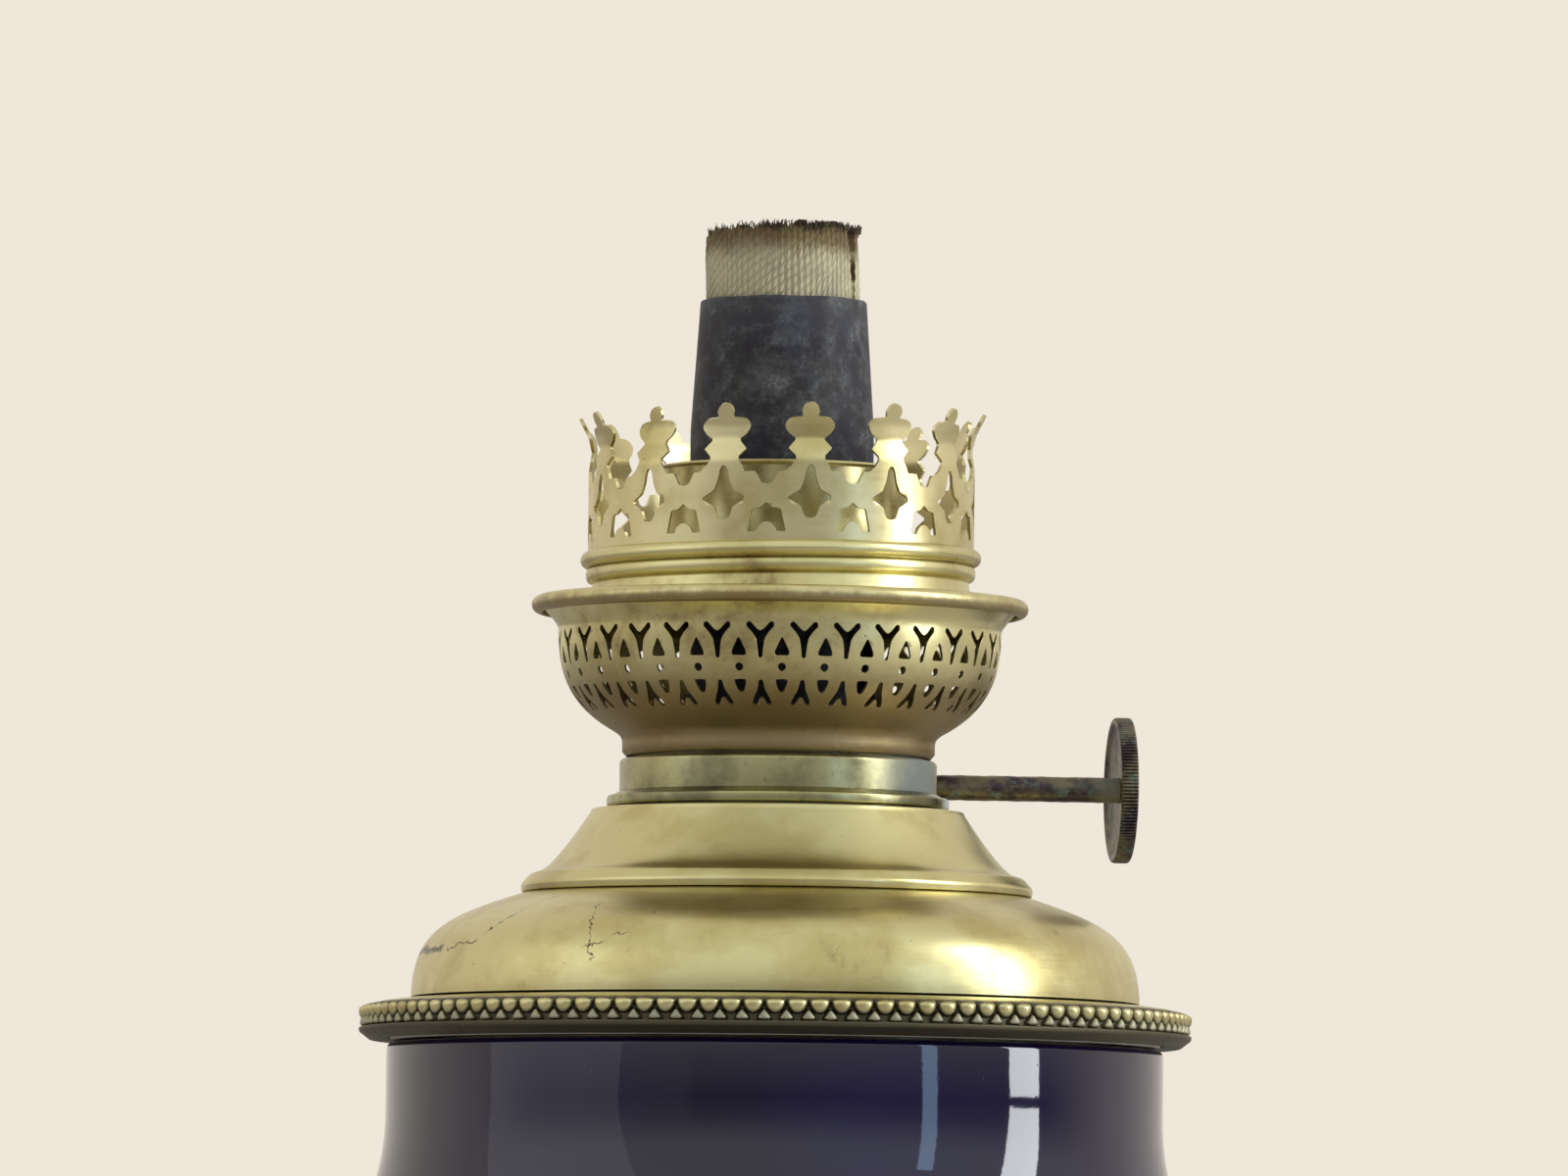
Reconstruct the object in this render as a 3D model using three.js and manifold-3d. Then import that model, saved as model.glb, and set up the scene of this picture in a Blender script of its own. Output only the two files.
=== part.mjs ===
// Kerosene lamp base: a glazed vase on a brass foot, a drop-in oil fount, a round-wick burner with its
// side winder, and a lift-off gallery with a pierced basket and a pronged crown for the chimney.
// Millimetres, +Z up, origin at the middle of the foot's resting face, winder spindle towards +X.

import * as THREE from "three";
import { mergeVertices } from "three/addons/utils/BufferGeometryUtils.js";
import Module from "manifold-3d";

const wasm = await Module();
wasm.setup();

// Driving dimensions

const seatGap = 0.3; // between pieces that rest on or in each other
const runningGap = 0.1; // round the turning spindle
const cutOver = 2; // how far a cutting shape passes the wall that it cuts

const vase = {
  height: 162.4, mouthRadius: 54.3, neckHeight: 8.2, bellyRadius: 73, bellyDrop: 71.7,
  baseRadius: 38.5, baseHeight: 3, wall: 4.5, floor: 6, rimRound: 1.4,
};
const foot = {
  height: 26, radius: 55, wall: 1.1, hemHeight: 2.5, hemInset: 1.4, hemStep: 0.8,
  torusRadius: 47, torusHeight: 8.8, neckRadius: 41, neckHeight: 19.4, beadProud: 1.7, beadHeight: 3.2,
};
const footRing = { height: 4.2, thickness: 2.4, lipRound: 0.9 };
const tie = {
  rodRadius: 3, rodBelow: 2.5, headRadius: 5.6, headHeight: 4,
  nutHeight: 4.5, washerRadius: 11, washerHeight: 1.5,
};

const mouthRing = {
  overhang: 3.85, height: 4.9, heelOut: 2.3, ledgeIn: 4.3, hollow: 2.2, beads: 120, beadProud: 0.75,
};
const plaster = { width: 3.6, rimInset: 0.4, outerHeight: 0.55, innerHeight: 1.8 };

const dome = { rimInset: 3.35, hemHeight: 1.8, height: 16.2, shoulderRadius: 35.7, wall: 0.8, holeRadius: 30 };
const cap = {
  radius: 35.75, rimHeight: 2.9, rimRound: 0.75, rimInset: 2,
  height: 11.6, neckRadius: 26, wall: 0.8, lipWidth: 1.2,
};
const collar = { wall: 2.3, height: 9.3, flangeWidth: 3.6, flangeHeight: 1.2 };
const bowl = { clearance: 3.3, depth: 105, wall: 0.8, lipDrop: 3.4, floorRadius: 33, floorRound: 14 };

const wick = { radius: 10.8, thickness: 2.5, length: 199.6, above: 10.3, slit: 1 };
const tube = { topGap: 0.3, wall: 0.6, height: 81.3, coneHeight: 18.3, coneSpread: 1.2 };
const draught = { wickGap: 0.3, wall: 0.5, topDrop: 0.5, bottomDrop: 0.7, floor: 0.7 };
const port = {
  width: 8, height: 14, wall: 0.5, aboveSpindle: 7, angle: -29,
  wickRoom: 1, wickTravelRoom: 12.3, wickTaper: 10,
};

const sprocket = { radius: 3.8, rootRadius: 2.9, teeth: 12, width: 1, spacing: 4.4, wickGap: 0.3 };
const spindle = { radius: 1.6, innerEnd: -6.6, outerEnd: 50.5, aboveFlange: 2.1 };
const thumbwheel = {
  radius: 10.2, width: 2.2, innerFace: 48.6, outerInset: 0.3,
  rimWidth: 1.5, webWidth: 1, hubRadius: 2.9, knurls: 60, knurlDepth: 0.3,
};
const bracket = { cheekWidth: 1.2, cheekGap: 0.6, depth: 4.4, back: 2.2, floor: 1, top: 0.6 };

const plug = { drumInset: 2.55, wall: 0.8, height: 8.6, floor: 1 };
const flange = { width: 1.75, height: 1.4, bevel: 0.4 };
const drum = { wall: 0.5, wheelGap: 2.95, height: 4.5, spigotHeight: 3.1 };

// The last four are the heights over the neck between which the basket's rows of openings are cut
const basket = {
  wall: 0.45, units: 32, phase: -101, neckInset: 0.95, neckHeight: 3.2, neckFlare: 1.2,
  bellyOut: 9.8, bellyHeight: 14.3, rimOut: 2.5, rimHeight: 3.6,
  patternBottom: 2.4, lowerTop: 7, holesTop: 8.9, patternTop: 14.3,
};

const crown = {
  wall: 0.45, units: 14, phase: -87.5, chimneyRadius: 26.5, chimneyGap: 0.1,
  curlHeight: 2.3, curlDepth: 0.8, rimCover: 0.5, neckHeight: 2, grooveDepth: 0.6, grooveHeight: 0.5,
  sleeveHeight: 2.2, beadProud: 0.6, beadHeight: 1.9, bandHeight: 11.2,
  foldHeight: 2.8, leanIn: 1.05, tipHeight: 4.7, flareOut: 1.8,
};
const airCollar = { tubeGap: 4.2, wall: 0.5, height: 13.4, seatHeight: 4.7, skirt: 1.5, lipFlare: 0.3 };

// Facets round each kind of piece

const wideSides = 32;
const middleSides = 24;
const smallSides = 16;
const hexSides = 6;
const wickColumns = 20;
const crownColumns = 2;
const curveSteps = { corner: 2, scotia: 3, cap: 4, dome: 5, vase: 5, belly: 16 };
const taperSteps = 3;

// Shares of the spans that the curves and cut patterns follow

const torusShares = [0.05, 0.6, 0.4, 1];
const vaseNeckCurveShares = [-0.037, 0.386, 1, 0.402];
const vaseBodyCurveShares = [0, 0.455, 0.957, 0.636];
const domeCurveShares = [0.03, 0.626, 0.349, 0.759];
const capCurveShares = [0.684, 0.281, 0.645, 0.469];
const bellyCurveShares = [0.695, 0.243, 1.01, 0.538];
const scotiaShares = [0.5, 0, 1, 0.45];
const floorCornerShares = [0.55, 0, 1, 0.45];

// Right halves of the cut-outs, from the bottom up: share of the unit's width, share of the row's height
const wyeShares = [[0, 0.05], [0.055, 0.36], [0.26, 0.92], [0, 0.66]];
const ogiveShares = [[0.16, 0.125], [0.13, 0.36], [0, 0.59]];
const roundHoleShares = { across: 0.085, up: 0.27, middle: 0.58, points: 5 };
const wedgeShares = [[0, 0.43], [0.144, 0.85]];
const invertedWyeShares = [[0, 0.38], [0.24, 0.09], [0.05, 0.6], [0, 0.83]];
const starShares = [[0, 0.245], [0.07, 0.31], [0.085, 0.41], [0.2265, 0.5], [0.085, 0.64], [0, 0.91]];
const archShares = [[0, 0.223], [0.07, 0.107], [0.23, 0.107], [0.15, 0.3], [0.1, 0.42]];
const valleyShares = [[0.362, 0.83], [0.28, 0.88], [0.19, 1]];
const notchShares = [
  [-0.19, 1], [-0.28, 0.88], [-0.4, 0.835], [-0.46, 0.7], [-0.54, 0.7], [-0.6, 0.835], [-0.638, 0.83],
];
const foldShares = [[0.19, 0], [0.26, 0.55], [0.178, 1]];
const tipShares = [[0.178, 0], [0.28, 0.2], [0.28, 0.45], [0.12, 0.62], [0.11, 0.87], [0.05, 1]];
const unitFootShare = 0.165;
const basketRimShares = { out: 0.67, up: 0.5 };
// Sideways place of the lines between units, at each height line of the basket
const unitLineShares = { below: 0.37, lowerBottom: 0.37, lowerTop: 0.22, holesTop: 0.243, above: 0.376 };

// Heights, from the foot up

const vaseBottom = foot.height + seatGap;
const vaseTop = vaseBottom + vase.height;
const ringBottom = vaseTop + seatGap;
const domeBottom = ringBottom + mouthRing.height + seatGap;
const domeTop = domeBottom + dome.height;
const capBottom = domeTop + seatGap;
const capTop = capBottom + cap.height;
const flangeBottom = capTop + seatGap;
const flangeTop = flangeBottom + flange.height;
const plugBottom = flangeBottom - plug.height;
const drumBottom = flangeTop + seatGap;
const drumTop = drumBottom + drum.height;
const spindleHeight = flangeTop + spindle.aboveFlange;
const neckBottom = drumTop + seatGap;
const bellyBottom = neckBottom + basket.neckHeight;
const rimTop = bellyBottom + basket.bellyHeight + basket.rimHeight;
const discTop = rimTop + crown.wall + seatGap + crown.rimCover;
const sleeveBottom = discTop + crown.neckHeight + crown.grooveHeight;
const bandBottom = sleeveBottom + crown.sleeveHeight + crown.beadHeight;
const tubeBottom = plugBottom - cutOver;
const tubeTop = tubeBottom + tube.height;
const wickTop = tubeTop + wick.above;

// Radii, from the wick out

const tubeTopRadius = wick.radius + tube.topGap + tube.wall;
const tubeRadius = tubeTopRadius + tube.coneSpread;
const draughtRadius = wick.radius - wick.thickness - draught.wickGap;
const spindleOffset = wick.radius + sprocket.wickGap + sprocket.radius;
const drumRadius = spindleOffset + sprocket.radius + drum.wheelGap + drum.wall;
const plugRadius = drumRadius - plug.drumInset;
const collarRadius = plugRadius + seatGap + collar.wall;
const neckRadius = drumRadius - basket.neckInset;
const sleeveRadius = crown.chimneyRadius + crown.chimneyGap + crown.wall;
const airCollarRadius = tubeRadius + airCollar.tubeGap;
const domeRadius = vase.mouthRadius - dome.rimInset;
const bowlRadius = vase.mouthRadius - vase.wall - bowl.clearance;

// Helpers

const at = (radius, height) => new THREE.Vector2(radius, height);

// A curve between two points whose handles stand at shares of the span.
function curve(from, to, shares, steps) {
  const handle = (across, up) => at(from.x + across * (to.x - from.x), from.y + up * (to.y - from.y));
  const [acrossA, upA, acrossB, upB] = shares;
  return new THREE.CubicBezierCurve(from, handle(acrossA, upA), handle(acrossB, upB), to).getPoints(steps);
}

// The radius of a rising outline at one height.
function radiusAt(points, height) {
  const next = points.findIndex((point) => point.y >= height);
  if (next <= 0) return points.at(next).x;
  const low = points[next - 1];
  const high = points[next];
  return THREE.MathUtils.mapLinear(height, low.y, high.y, low.x, high.x);
}

// The line one wall's thickness to the left of another.
function offsetLine(points, wall) {
  const normal = (from, to) => at(from.y - to.y, to.x - from.x).normalize();
  return points.map((point, i) => {
    const before = i > 0 ? normal(points[i - 1], point) : normal(point, points[i + 1]);
    const after = i < points.length - 1 ? normal(point, points[i + 1]) : before;
    const middle = before.clone().add(after).normalize();
    return point.clone().addScaledVector(middle, wall / middle.dot(before));
  });
}

// A solid turned from its profile, which closes on itself or starts and ends on the axis.
function turned(profile, sides) {
  const points = THREE.ShapeUtils.area(profile) > 0 ? [...profile] : [...profile].reverse();
  const onAxis = points[0].x === 0 && points.at(-1).x === 0;
  if (!onAxis) points.push(points[0].clone());
  return new THREE.LatheGeometry(points, sides).rotateX(Math.PI / 2);
}

// Sheet metal spun to an outline that rises on its outer side.
function spun(outline, wall, sides) {
  return turned([...outline, ...offsetLine(outline, wall).reverse()], sides);
}

// The same for a curved outline, with half as many points on its unseen side.
function spunCurve(outline, wall, sides) {
  const back = offsetLine(outline, wall).filter((_, i) => i % 2 === 0 || i === outline.length - 1);
  return turned([...outline, ...back.reverse()], sides);
}

// A ring of plain rectangular section.
function ring(inner, outer, bottom, top, sides) {
  return turned([at(inner, bottom), at(outer, bottom), at(outer, top), at(inner, top)], sides);
}

function solidOf(geometry) {
  const bare = geometry.clone();
  bare.deleteAttribute("normal");
  bare.deleteAttribute("uv");
  const merged = mergeVertices(bare);
  const vertProperties = new Float32Array(merged.attributes.position.array);
  const triVerts = new Uint32Array(merged.index.array);
  return new wasm.Manifold(new wasm.Mesh({ numProp: 3, vertProperties, triVerts }));
}

function geometryOf(solid) {
  const { vertProperties, triVerts } = solid.getMesh();
  const geometry = new THREE.BufferGeometry();
  geometry.setAttribute("position", new THREE.BufferAttribute(vertProperties, 3));
  return geometry.setIndex(new THREE.BufferAttribute(triVerts, 1));
}

const cut = (geometry, ...tools) =>
  geometryOf(tools.reduce((left, tool) => left.subtract(solidOf(tool)), solidOf(geometry)));
const join = (geometry, ...others) =>
  geometryOf(others.reduce((whole, other) => whole.add(solidOf(other)), solidOf(geometry)));

// A block given by its lowest and highest corners.
function block(low, high) {
  const size = high.map((value, i) => value - low[i]);
  const middle = high.map((value, i) => (value + low[i]) / 2);
  return new THREE.BoxGeometry(...size).translate(...middle);
}

// A rod along X.
function rodAlongX(radius, from, to, y, z, sides) {
  const rod = new THREE.CylinderGeometry(radius, radius, to - from, sides).rotateZ(Math.PI / 2);
  return rod.translate((from + to) / 2, y, z);
}

// A closed outline from its right half, listed from the bottom up.
function mirrored(half) {
  const left = half.filter(([across]) => across !== 0).map(([across, up]) => [-across, up]);
  return [...half, ...left.reverse()];
}

const moved = (outline, across, up) => outline.map(([x, y]) => at(x + across, y + up));

// Sheet metal cut to a flat pattern and bent round the lamp's axis. The lines give the outer outline
// from bottom to top. A pattern's x counts units round the axis and its y counts lines, with shares.
function bentSheet(lines, wall, units, phase, panels) {
  const back = offsetLine(lines, wall);
  const keyStep = 1e5;
  const vertices = [];
  const found = new Map();
  const vertexOf = (point) => {
    const turn = Math.round((((point.x % units) + units) % units) * keyStep) % (units * keyStep);
    const key = `${turn} ${Math.round(point.y * keyStep)}`;
    if (!found.has(key)) {
      found.set(key, vertices.length);
      vertices.push(point);
    }
    return found.get(key);
  };
  const triangles = panels.flatMap((panel) => trianglesOf(panel).map((corners) => corners.map(vertexOf)));
  const place = (point, side) => {
    const line = Math.min(Math.floor(point.y), side.length - 2);
    const spot = side[line].clone().lerp(side[line + 1], point.y - line);
    const angle = THREE.MathUtils.degToRad(phase) + (point.x / units) * 2 * Math.PI;
    return [spot.x * Math.cos(angle), spot.x * Math.sin(angle), spot.y];
  };
  const positions = [lines, back].flatMap((side) => vertices.flatMap((point) => place(point, side)));
  return closedSheet(positions, triangles, vertices.length);
}

// Triangles of a flat panel. Its far points are pushed out a little, so that no triangle
// runs along a straight edge and leaves out the points on it.
function trianglesOf({ outline, holes = [] }) {
  const bowShare = 0.01;
  const middle = outline.reduce((sum, point) => sum.add(point), at(0, 0)).divideScalar(outline.length);
  const bow = (point) => {
    const arm = point.clone().sub(middle);
    return arm.multiplyScalar(1 + bowShare * arm.lengthSq()).add(middle);
  };
  const points = [outline, ...holes].flat();
  const faces = THREE.ShapeUtils.triangulateShape(outline.map(bow), holes.map((hole) => hole.map(bow)));
  return faces.map((face) => {
    const corners = face.map((i) => points[i]);
    return THREE.ShapeUtils.area(corners.map(bow)) < 0 ? corners.reverse() : corners;
  });
}

// Front faces, the same faces turned round on the back, and a wall along each free edge.
function closedSheet(positions, triangles, backStart) {
  const edges = new Set(triangles.flatMap(([a, b, c]) => [`${a} ${b}`, `${b} ${c}`, `${c} ${a}`]));
  const faces = [];
  for (const [a, b, c] of triangles) {
    faces.push(a, b, c, a + backStart, c + backStart, b + backStart);
  }
  for (const edge of edges) {
    const [a, b] = edge.split(" ").map(Number);
    if (edges.has(`${b} ${a}`)) continue;
    faces.push(a, a + backStart, b + backStart, a, b + backStart, b);
  }
  const geometry = new THREE.BufferGeometry();
  geometry.setAttribute("position", new THREE.Float32BufferAttribute(positions, 3));
  return geometry.setIndex(faces);
}

// Plain panels between two height lines, each unit split into columns. The shares shift their side lines.
function plainRow(units, columns, line, lowShift, highShift) {
  return Array.from({ length: units * columns }, (_, i) => {
    const left = i / columns;
    const right = (i + 1) / columns;
    const low = [at(left + lowShift, line), at(right + lowShift, line)];
    const high = [at(right + highShift, line + 1), at(left + highShift, line + 1)];
    return { outline: [...low, ...high] };
  });
}

// A ring whose section closes on itself. Each of its points has a count of copies round the axis,
// turned by its own share of a step, so that beads stand between the gaps of their neighbours.
function studdedRing(section, count) {
  const positions = section.flatMap(({ radius, height, shift }) =>
    Array.from({ length: count }, (_, k) => {
      const angle = ((k + shift) / count) * 2 * Math.PI;
      return [radius * Math.cos(angle), radius * Math.sin(angle), height];
    }).flat(),
  );
  const faces = section.flatMap(({ shift }, i) => {
    const above = (i + 1) % section.length;
    const forward = section[above].shift < shift;
    return Array.from({ length: count }, (_, k) => {
      const next = (k + 1) % count;
      const [a, b, c, d] = [i * count + k, i * count + next, above * count + next, above * count + k];
      return forward ? [a, b, c, a, c, d] : [a, b, d, b, c, d];
    }).flat();
  });
  const geometry = new THREE.BufferGeometry();
  geometry.setAttribute("position", new THREE.Float32BufferAttribute(positions, 3));
  return geometry.setIndex(faces);
}

// Body

// A hem, a torus, a hollow and a bead under the deck that carries the ceramic. The unseen side is plainer.
function brassFoot() {
  const hem = at(foot.radius, 0);
  const hemTop = at(foot.radius, foot.hemHeight);
  const step = at(foot.radius - foot.hemInset, foot.hemHeight + foot.hemStep);
  const torusTop = at(foot.torusRadius, foot.torusHeight);
  const torus = curve(step, torusTop, torusShares, curveSteps.corner);
  const neck = at(foot.neckRadius, foot.neckHeight);
  const hollow = curve(torusTop, neck, scotiaShares, curveSteps.scotia);
  const beadRadius = foot.neckRadius + foot.beadProud;
  const beadTop = foot.neckHeight + foot.beadHeight;
  const slope = foot.beadHeight / 4;
  const beadSide = [at(beadRadius, foot.neckHeight + slope), at(beadRadius, beadTop - slope)];
  const bead = [...beadSide, at(foot.neckRadius, beadTop)];
  const deck = [at(foot.neckRadius, foot.height), at(tie.rodRadius + seatGap, foot.height)];
  const outside = [hem, hemTop, ...torus, ...hollow.slice(1), ...bead, ...deck];
  const inside = offsetLine([hem, hemTop, ...hollow, ...deck], foot.wall);
  return turned([...outside, ...inside.reverse()], wideSides);
}

function vaseOutline() {
  const bottom = at(vase.baseRadius, vaseBottom);
  const baseTop = at(vase.baseRadius, vaseBottom + vase.baseHeight);
  const belly = at(vase.bellyRadius, vaseTop - vase.bellyDrop);
  const neck = at(vase.mouthRadius, vaseTop - vase.neckHeight);
  const rimSide = at(vase.mouthRadius, vaseTop - vase.rimRound);
  const mouthEdge = at(vase.mouthRadius - vase.rimRound, vaseTop);
  const body = curve(belly, baseTop, vaseBodyCurveShares, curveSteps.vase).reverse();
  const shoulder = curve(neck, belly, vaseNeckCurveShares, curveSteps.vase).reverse().slice(1);
  return [bottom, ...body, ...shoulder, rimSide, mouthEdge];
}

function ceramicVase() {
  const outline = vaseOutline();
  const floor = vaseBottom + vase.floor;
  const inside = offsetLine(outline, vase.wall).filter((point) => point.y > floor + vase.wall);
  inside.pop();
  inside.push(at(vase.mouthRadius - vase.wall, vaseTop));
  const lowest = inside[0];
  const bore = tie.rodRadius + seatGap;
  const bottom = [at(bore, floor), at(bore, vaseBottom)];
  return turned([...outline, ...inside.reverse(), at(lowest.x - vase.wall, floor), ...bottom], wideSides);
}

function ringRoundBase() {
  const inner = vase.baseRadius + seatGap;
  const outer = inner + footRing.thickness;
  const bottom = vaseBottom;
  const top = bottom + footRing.height;
  const lip = footRing.lipRound;
  const section = [at(inner, bottom), at(outer - lip, bottom), at(outer, bottom + lip), at(outer, top - lip)];
  return turned([...section, at(outer - lip, top), at(inner, top)], wideSides);
}

const washerBottom = vaseBottom + vase.floor + seatGap;
const headBottom = washerBottom + tie.washerHeight + seatGap;
const nutTop = foot.height - foot.wall - seatGap;

function tieBolt() {
  const rodBottom = nutTop - tie.nutHeight - tie.rodBelow;
  const rod = [at(0, rodBottom), at(tie.rodRadius, rodBottom), at(tie.rodRadius, headBottom)];
  const head = [at(tie.headRadius, headBottom), at(tie.headRadius, headBottom + tie.headHeight)];
  return turned([...rod, ...head, at(0, headBottom + tie.headHeight)], hexSides);
}

const tieWasher = () =>
  ring(tie.rodRadius + seatGap, tie.washerRadius, washerBottom, washerBottom + tie.washerHeight, smallSides);
const tieNut = () => ring(tie.rodRadius + seatGap, tie.headRadius, nutTop - tie.nutHeight, nutTop, hexSides);

function plasterBed() {
  const outer = vase.mouthRadius - plaster.rimInset;
  const inner = outer - plaster.width;
  const section = [at(inner, ringBottom), at(outer, ringBottom), at(outer, ringBottom + plaster.outerHeight)];
  return turned([...section, at(inner, ringBottom + plaster.innerHeight)], wideSides);
}

const ringRadius = vase.mouthRadius + mouthRing.overhang;
const ringTop = ringBottom + mouthRing.height;

// The lip below the beads, the beads themselves and the ledge on which the fount rests.
function beadedRing() {
  const inner = vase.mouthRadius - mouthRing.ledgeIn;
  const heel = vase.mouthRadius + mouthRing.heelOut;
  const gapRadius = ringRadius - mouthRing.beadProud;
  const point = (radius, heightShare, shift) => ({
    radius,
    height: ringBottom + heightShare * mouthRing.height,
    shift,
  });
  const beadShares = { lip: 0.37, lower: 0.61, peak: 0.775, upper: 0.94 };
  return studdedRing(
    [
      { radius: inner, height: ringBottom + mouthRing.hollow, shift: 0 },
      point(heel, 0, 0),
      point(ringRadius, beadShares.lip, 0),
      point(gapRadius, beadShares.lower, 1 / 2),
      point(ringRadius, beadShares.peak, 0),
      point(heel, beadShares.upper, 1 / 2),
      point(inner, 1, 1 / 2),
    ],
    mouthRing.beads,
  );
}

// Fount

function fountDome() {
  const hemTop = at(domeRadius, domeBottom + dome.hemHeight);
  const shoulder = at(dome.shoulderRadius, domeTop);
  const outline = [at(domeRadius, domeBottom), ...curve(hemTop, shoulder, domeCurveShares, curveSteps.dome)];
  return spunCurve([...outline, at(dome.holeRadius, domeTop)], dome.wall, wideSides);
}

// The rolled step, the ogee above it and the flat on which the burner's flange sits.
function fountCap() {
  const round = cap.rimRound;
  const step = [at(cap.radius - round, capBottom), at(cap.radius, capBottom + round)];
  const stepTop = at(cap.radius, capBottom + cap.rimHeight - round);
  const ogeeBottom = at(cap.radius - cap.rimInset, capBottom + cap.rimHeight);
  const ogeeTop = at(cap.neckRadius, capTop - cap.wall / 2);
  const ogee = curve(ogeeBottom, ogeeTop, capCurveShares, curveSteps.cap);
  const flat = [at(cap.neckRadius - cap.lipWidth, capTop), at(collarRadius + seatGap, capTop)];
  return spunCurve([...step, stepTop, ...ogee, ...flat], cap.wall, wideSides);
}

function fountCollar() {
  const bore = plugRadius + seatGap;
  const bottom = capTop - collar.height;
  const skirt = collarRadius + collar.flangeWidth;
  const skirtTop = bottom + collar.flangeHeight;
  const section = [at(bore, bottom), at(skirt, bottom), at(skirt, skirtTop), at(collarRadius, skirtTop)];
  return turned([...section, at(collarRadius, capTop), at(bore, capTop)], middleSides);
}

// The reservoir, hung from the inside of the dome's hem by its flared lip.
function fountBowl() {
  const lip = at(domeRadius - dome.wall - seatGap, domeBottom + bowl.wall);
  const wallTop = at(bowlRadius, domeBottom - bowl.lipDrop);
  const floor = domeBottom - bowl.depth;
  const floorEdge = at(bowl.floorRadius, floor);
  const wallBottom = at(bowlRadius, floor + bowl.floorRound);
  const corner = curve(floorEdge, wallBottom, floorCornerShares, curveSteps.corner);
  const outside = [at(0, floor), ...corner, wallTop, lip];
  const inside = offsetLine(outside, bowl.wall).reverse();
  inside[inside.length - 1] = at(0, floor + bowl.wall);
  return turned([...outside, ...inside], middleSides);
}

// Burner

function burnerBase() {
  const bore = tubeRadius + seatGap;
  const inner = plugRadius - plug.wall;
  const outer = drumRadius + flange.width;
  const floorTop = plugBottom + plug.floor;
  const barrel = [at(bore, plugBottom), at(plugRadius, plugBottom), at(plugRadius, flangeBottom)];
  const bevel = [at(outer, flangeTop - flange.bevel), at(outer - flange.bevel, flangeTop)];
  const inside = [at(inner, flangeTop), at(inner, floorTop), at(bore, floorTop)];
  return turned([...barrel, at(outer, flangeBottom), ...bevel, ...inside], middleSides);
}

const spigotRadius = neckRadius - basket.wall - seatGap;

function burnerDrum() {
  const side = [at(drumRadius, drumBottom), at(drumRadius, drumTop)];
  const spigot = [at(spigotRadius, drumTop), at(spigotRadius, drumTop + drum.spigotHeight)];
  const shell = spun([...side, ...spigot], drum.wall, middleSides);
  const reach = drumRadius + cutOver;
  const notchRadius = spindle.radius + seatGap;
  const hole = rodAlongX(notchRadius, 0, reach, spindleOffset, spindleHeight, smallSides);
  const low = [0, spindleOffset - notchRadius, drumBottom - cutOver];
  const notch = block(low, [reach, spindleOffset + notchRadius, spindleHeight]);
  return cut(shell, hole, notch);
}

// A window through a tube wall for the air port.
function portWindow(inner, outer, gap) {
  const half = port.width / 2 + gap;
  const bottom = portBottom - gap;
  const window = block([inner, -half, bottom], [outer, half, portBottom + port.height + gap]);
  return window.rotateZ(THREE.MathUtils.degToRad(port.angle));
}

const portBottom = spindleHeight + port.aboveSpindle;
const sprocketPlaces = [-sprocket.spacing / 2, sprocket.spacing / 2];

function outerWickTube() {
  const wall = tube.wall;
  const coneBottom = tubeTop - tube.coneHeight;
  const outside = [at(tubeRadius, tubeBottom), at(tubeRadius, coneBottom), at(tubeTopRadius, tubeTop)];
  const shell = spun(outside, wall, middleSides);
  const slotHalf = sprocket.width / 2 + seatGap;
  const slotRise = sprocket.radius + seatGap;
  const slots = sprocketPlaces.map((x) =>
    block(
      [x - slotHalf, wick.radius, spindleHeight - slotRise],
      [x + slotHalf, tubeRadius + cutOver, spindleHeight + slotRise],
    ),
  );
  return cut(shell, ...slots, portWindow(wick.radius - cutOver, tubeRadius + cutOver, seatGap));
}

function draughtTube() {
  const bottom = tubeBottom + draught.bottomDrop;
  const top = tubeTop - draught.topDrop;
  const inner = draughtRadius - draught.wall;
  const outside = [at(0, bottom), at(draughtRadius, bottom), at(draughtRadius, top)];
  const inside = [at(inner, top), at(inner, bottom + draught.floor), at(0, bottom + draught.floor)];
  return cut(turned([...outside, ...inside], smallSides), portWindow(0, draughtRadius + cutOver, seatGap));
}

// The flat duct that leads air through the wick's opening into the inner tube.
function draughtPort() {
  const half = port.width / 2;
  const start = Math.sqrt(draughtRadius ** 2 - half ** 2) - draught.wall;
  const top = portBottom + port.height;
  const inside = block(
    [start - cutOver, port.wall - half, portBottom + port.wall],
    [tubeRadius + cutOver, half - port.wall, top - port.wall],
  );
  const duct = cut(block([start, -half, portBottom], [tubeRadius, half, top]), inside);
  return duct.rotateZ(THREE.MathUtils.degToRad(port.angle));
}

// A strap folded up at both ends, with the spindle's bearing holes in the two cheeks.
function spindleBracket() {
  const inside = sprocket.spacing / 2 + sprocket.width / 2 + bracket.cheekGap + sprocket.width;
  const outside = inside + bracket.cheekWidth;
  const near = spindleOffset - bracket.back;
  const far = near + bracket.depth;
  const bottom = plugBottom + plug.floor + seatGap;
  const top = spindleHeight + spindle.radius + bracket.top;
  const strap = block([-outside, near, bottom], [outside, far, top]);
  const roomLow = [-inside, near - cutOver, bottom + bracket.floor];
  const room = block(roomLow, [inside, far + cutOver, top + cutOver]);
  const reach = outside + cutOver;
  const hole = rodAlongX(spindle.radius + runningGap, -reach, reach, spindleOffset, spindleHeight, smallSides);
  const tubeSide = tubeRadius + seatGap;
  const tubeRoom = turned([at(0, 0), at(tubeSide, 0), at(tubeSide, top), at(0, top)], smallSides);
  return cut(strap, room, tubeRoom, hole);
}

// Winder

const winderSpindle = () =>
  rodAlongX(spindle.radius, spindle.innerEnd, spindle.outerEnd, spindleOffset, spindleHeight, smallSides);

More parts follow.
